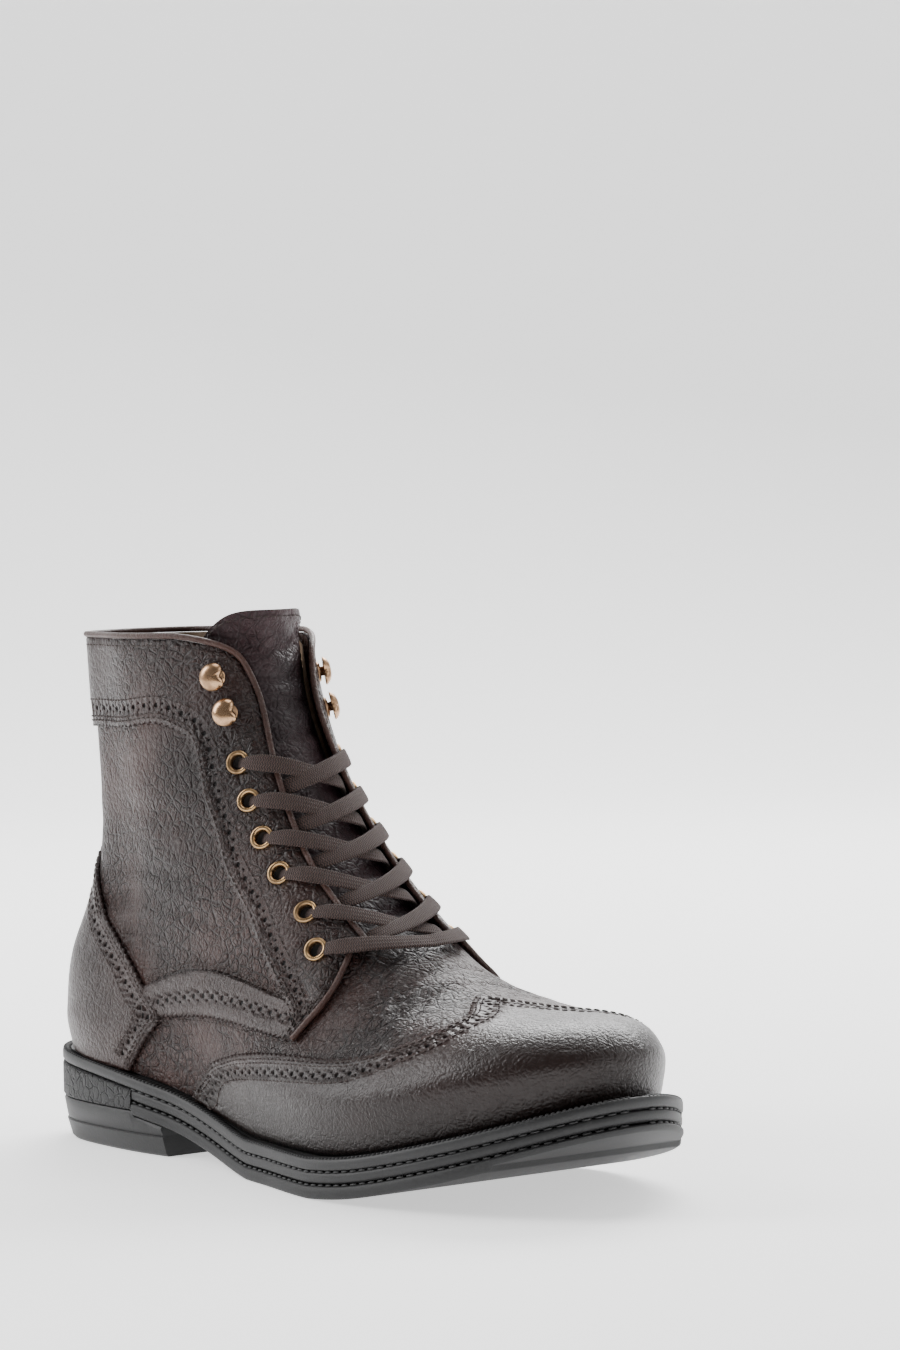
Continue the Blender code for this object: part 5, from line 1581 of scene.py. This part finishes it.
# Stitches on the leather
places = np.concatenate([s[0] for s in STITCHES])
along = np.concatenate([s[1] for s in STITCHES])
out = np.concatenate([s[2] for s in STITCHES])
beads("seam_stitches", places, along, out, (0.0021, 0.00058, 0.00050), thread_brown)

# The zip on the inner side
rows = np.linspace(ZIP_ROW + 0.012, 0.985, 56)
rows, angles = walk((rows, zip_edge(rows, 0.0)), 0.0016)
places = lifted(rows, angles, np.full(len(rows), -WALL + ZIP_TEETH - 0.0006))
along = unit(np.gradient(places, axis=0))
out = normal(rows, angles)
across_zip = unit(np.cross(out, along))
teeth = beads("zip_coil", places, across_zip, out, (ZIP_TEETH_WIDTH, 0.0012, 0.0014), teeth_nylon)
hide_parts("zip_teeth")
for offset in (-ZIP_SLOT / 2, ZIP_SLOT / 2):
    line = zip_line(offset)
    strip = edge_strip(f"zip_slot_edge_{1 if offset < 0 else 2}", line, -WALL, 0.0, upper_leather)
for offset in (-ZIP_SLOT / 2 - 0.0020, ZIP_SLOT / 2 + 0.0020):
    line = zip_line(offset, ZIP_ROW, 0.885)
    stitch_line = walk(line, 0.0027, (0.001, 0.001))
    places, along, _ = sideways(stitch_line)
    out = normal(*stitch_line)
    beads(f"zip_stitches_{1 if offset < 0 else 2}", places, along, out, (0.0021, 0.00058, 0.0005), thread_black)

for slot, material in (("insole_leather", lining_leather), ("zip_tape", tape_cloth), ("slider_nickel", nickel),
                       ("pull_nickel", nickel)):
    for found in list(bpy.data.objects):
        if found.type != "MESH":
            continue
        for k, used in enumerate(found.data.materials):
            if used and used.name == slot:
                found.data.materials[k] = material

# Floor, light and camera

def floor():
    """A seamless sheet: flat under the boot, curving up behind it."""
    ahead = Vector((-math.sin(math.radians(AZIMUTH)), math.cos(math.radians(AZIMUTH)), 0))
    side = Vector((ahead.y, -ahead.x, 0))
    profile = [(-6.0, 0.0), (0.0, 0.0), (1.6, 0.0)]
    for k in range(1, 17):
        t = math.pi / 2 * k / 16
        profile.append((1.6 + 1.2 * math.sin(t), 1.2 - 1.2 * math.cos(t)))
    profile.append((2.8, 5.0))
    points = [tuple(ahead * d + side * w + Vector((0, 0, z))) for d, z in profile for w in (-6, 6)]
    faces = grid_faces(len(profile), 2)
    mesh = bpy.data.meshes.new("studio_floor")
    mesh.from_pydata(points, [], [f[::-1] for f in faces])
    mesh.shade_smooth()
    made = bpy.data.objects.new("studio_floor", mesh)
    bpy.context.scene.collection.objects.link(made)
    n = Nodes("studio_white")
    mesh.materials.append(n.finish(
        Base_Color=(0.92, 0.92, 0.92, 1), Roughness=0.9, Specular_IOR_Level=0.1,
        Emission_Color=(1, 1, 1, 1), Emission_Strength=0.9))


AZIMUTH = 52.015
floor()


def softbox(name, place, at, size, power, colour=(1, 1, 1)):
    light = bpy.data.lights.new(name, "AREA")
    light.shape = "RECTANGLE"
    light.size, light.size_y = size
    light.energy = power
    light.color = colour
    made = bpy.data.objects.new(name, light)
    bpy.context.scene.collection.objects.link(made)
    made.location = place
    made.rotation_euler = (Vector(at) - Vector(place)).to_track_quat("-Z", "Y").to_euler()


def seen(right, toward, up):
    """A place given from the camera's side of the boot: to its right, towards it, and up."""
    a = math.radians(AZIMUTH)
    ahead = Vector((-math.sin(a), math.cos(a), 0))
    side = Vector((math.cos(a), math.sin(a), 0))
    return tuple(side * right - ahead * toward + Vector((0, 0, up)))


softbox("key_left", seen(-1.5, -0.2, 1.0), (0, 0, 0.08), (0.9, 1.2), 25)
softbox("top", seen(0.2, -0.3, 1.9), (0, 0, 0.05), (1.2, 1.2), 15)
softbox("right", seen(1.4, 0.3, 0.9), (0.05, 0, 0.05), (0.8, 1.2), 7)
softbox("back", seen(0.5, -1.4, 1.3), (0, 0, 0.1), (1.6, 0.8), 50)
world = bpy.data.worlds.new("studio_air")
world.use_nodes = True
world.node_tree.nodes["Background"].inputs["Color"].default_value = (1, 1, 1, 1)
world.node_tree.nodes["Background"].inputs["Strength"].default_value = 0.22
bpy.context.scene.world = world

# The photograph's angle, worked out from the boot's outline in it
DISTANCE = 1.6939
EYE = 0.2485
PITCH = 2.732
ROLL = -1.2
FOCAL = 4980.9 / 1350
AIM_ACROSS = 0.03603
a = math.radians(AZIMUTH)
t = math.radians(PITCH)
r = math.radians(ROLL)
fwd = Vector((-math.sin(a), math.cos(a), 0))
right = Vector((math.cos(a), math.sin(a), 0))
up = Vector((0, 0, 1))
ahead = fwd * math.cos(t) - up * math.sin(t)
above = up * math.cos(t) + fwd * math.sin(t)
across_view = right * math.cos(r) + above * math.sin(r)
above_view = above * math.cos(r) - right * math.sin(r)
lens = bpy.data.cameras.new("photo_camera")
lens.sensor_fit = "VERTICAL"
lens.sensor_height = 36
lens.sensor_width = 24
lens.lens = 36 * FOCAL
camera = bpy.data.objects.new("photo_camera", lens)
bpy.context.scene.collection.objects.link(camera)
where = right * AIM_ACROSS - fwd * DISTANCE + Vector((0, 0, EYE))
turned_by = Matrix((across_view, above_view, -ahead)).transposed().to_4x4()
camera.matrix_world = Matrix.Translation(where) @ turned_by
bpy.context.scene.camera = camera
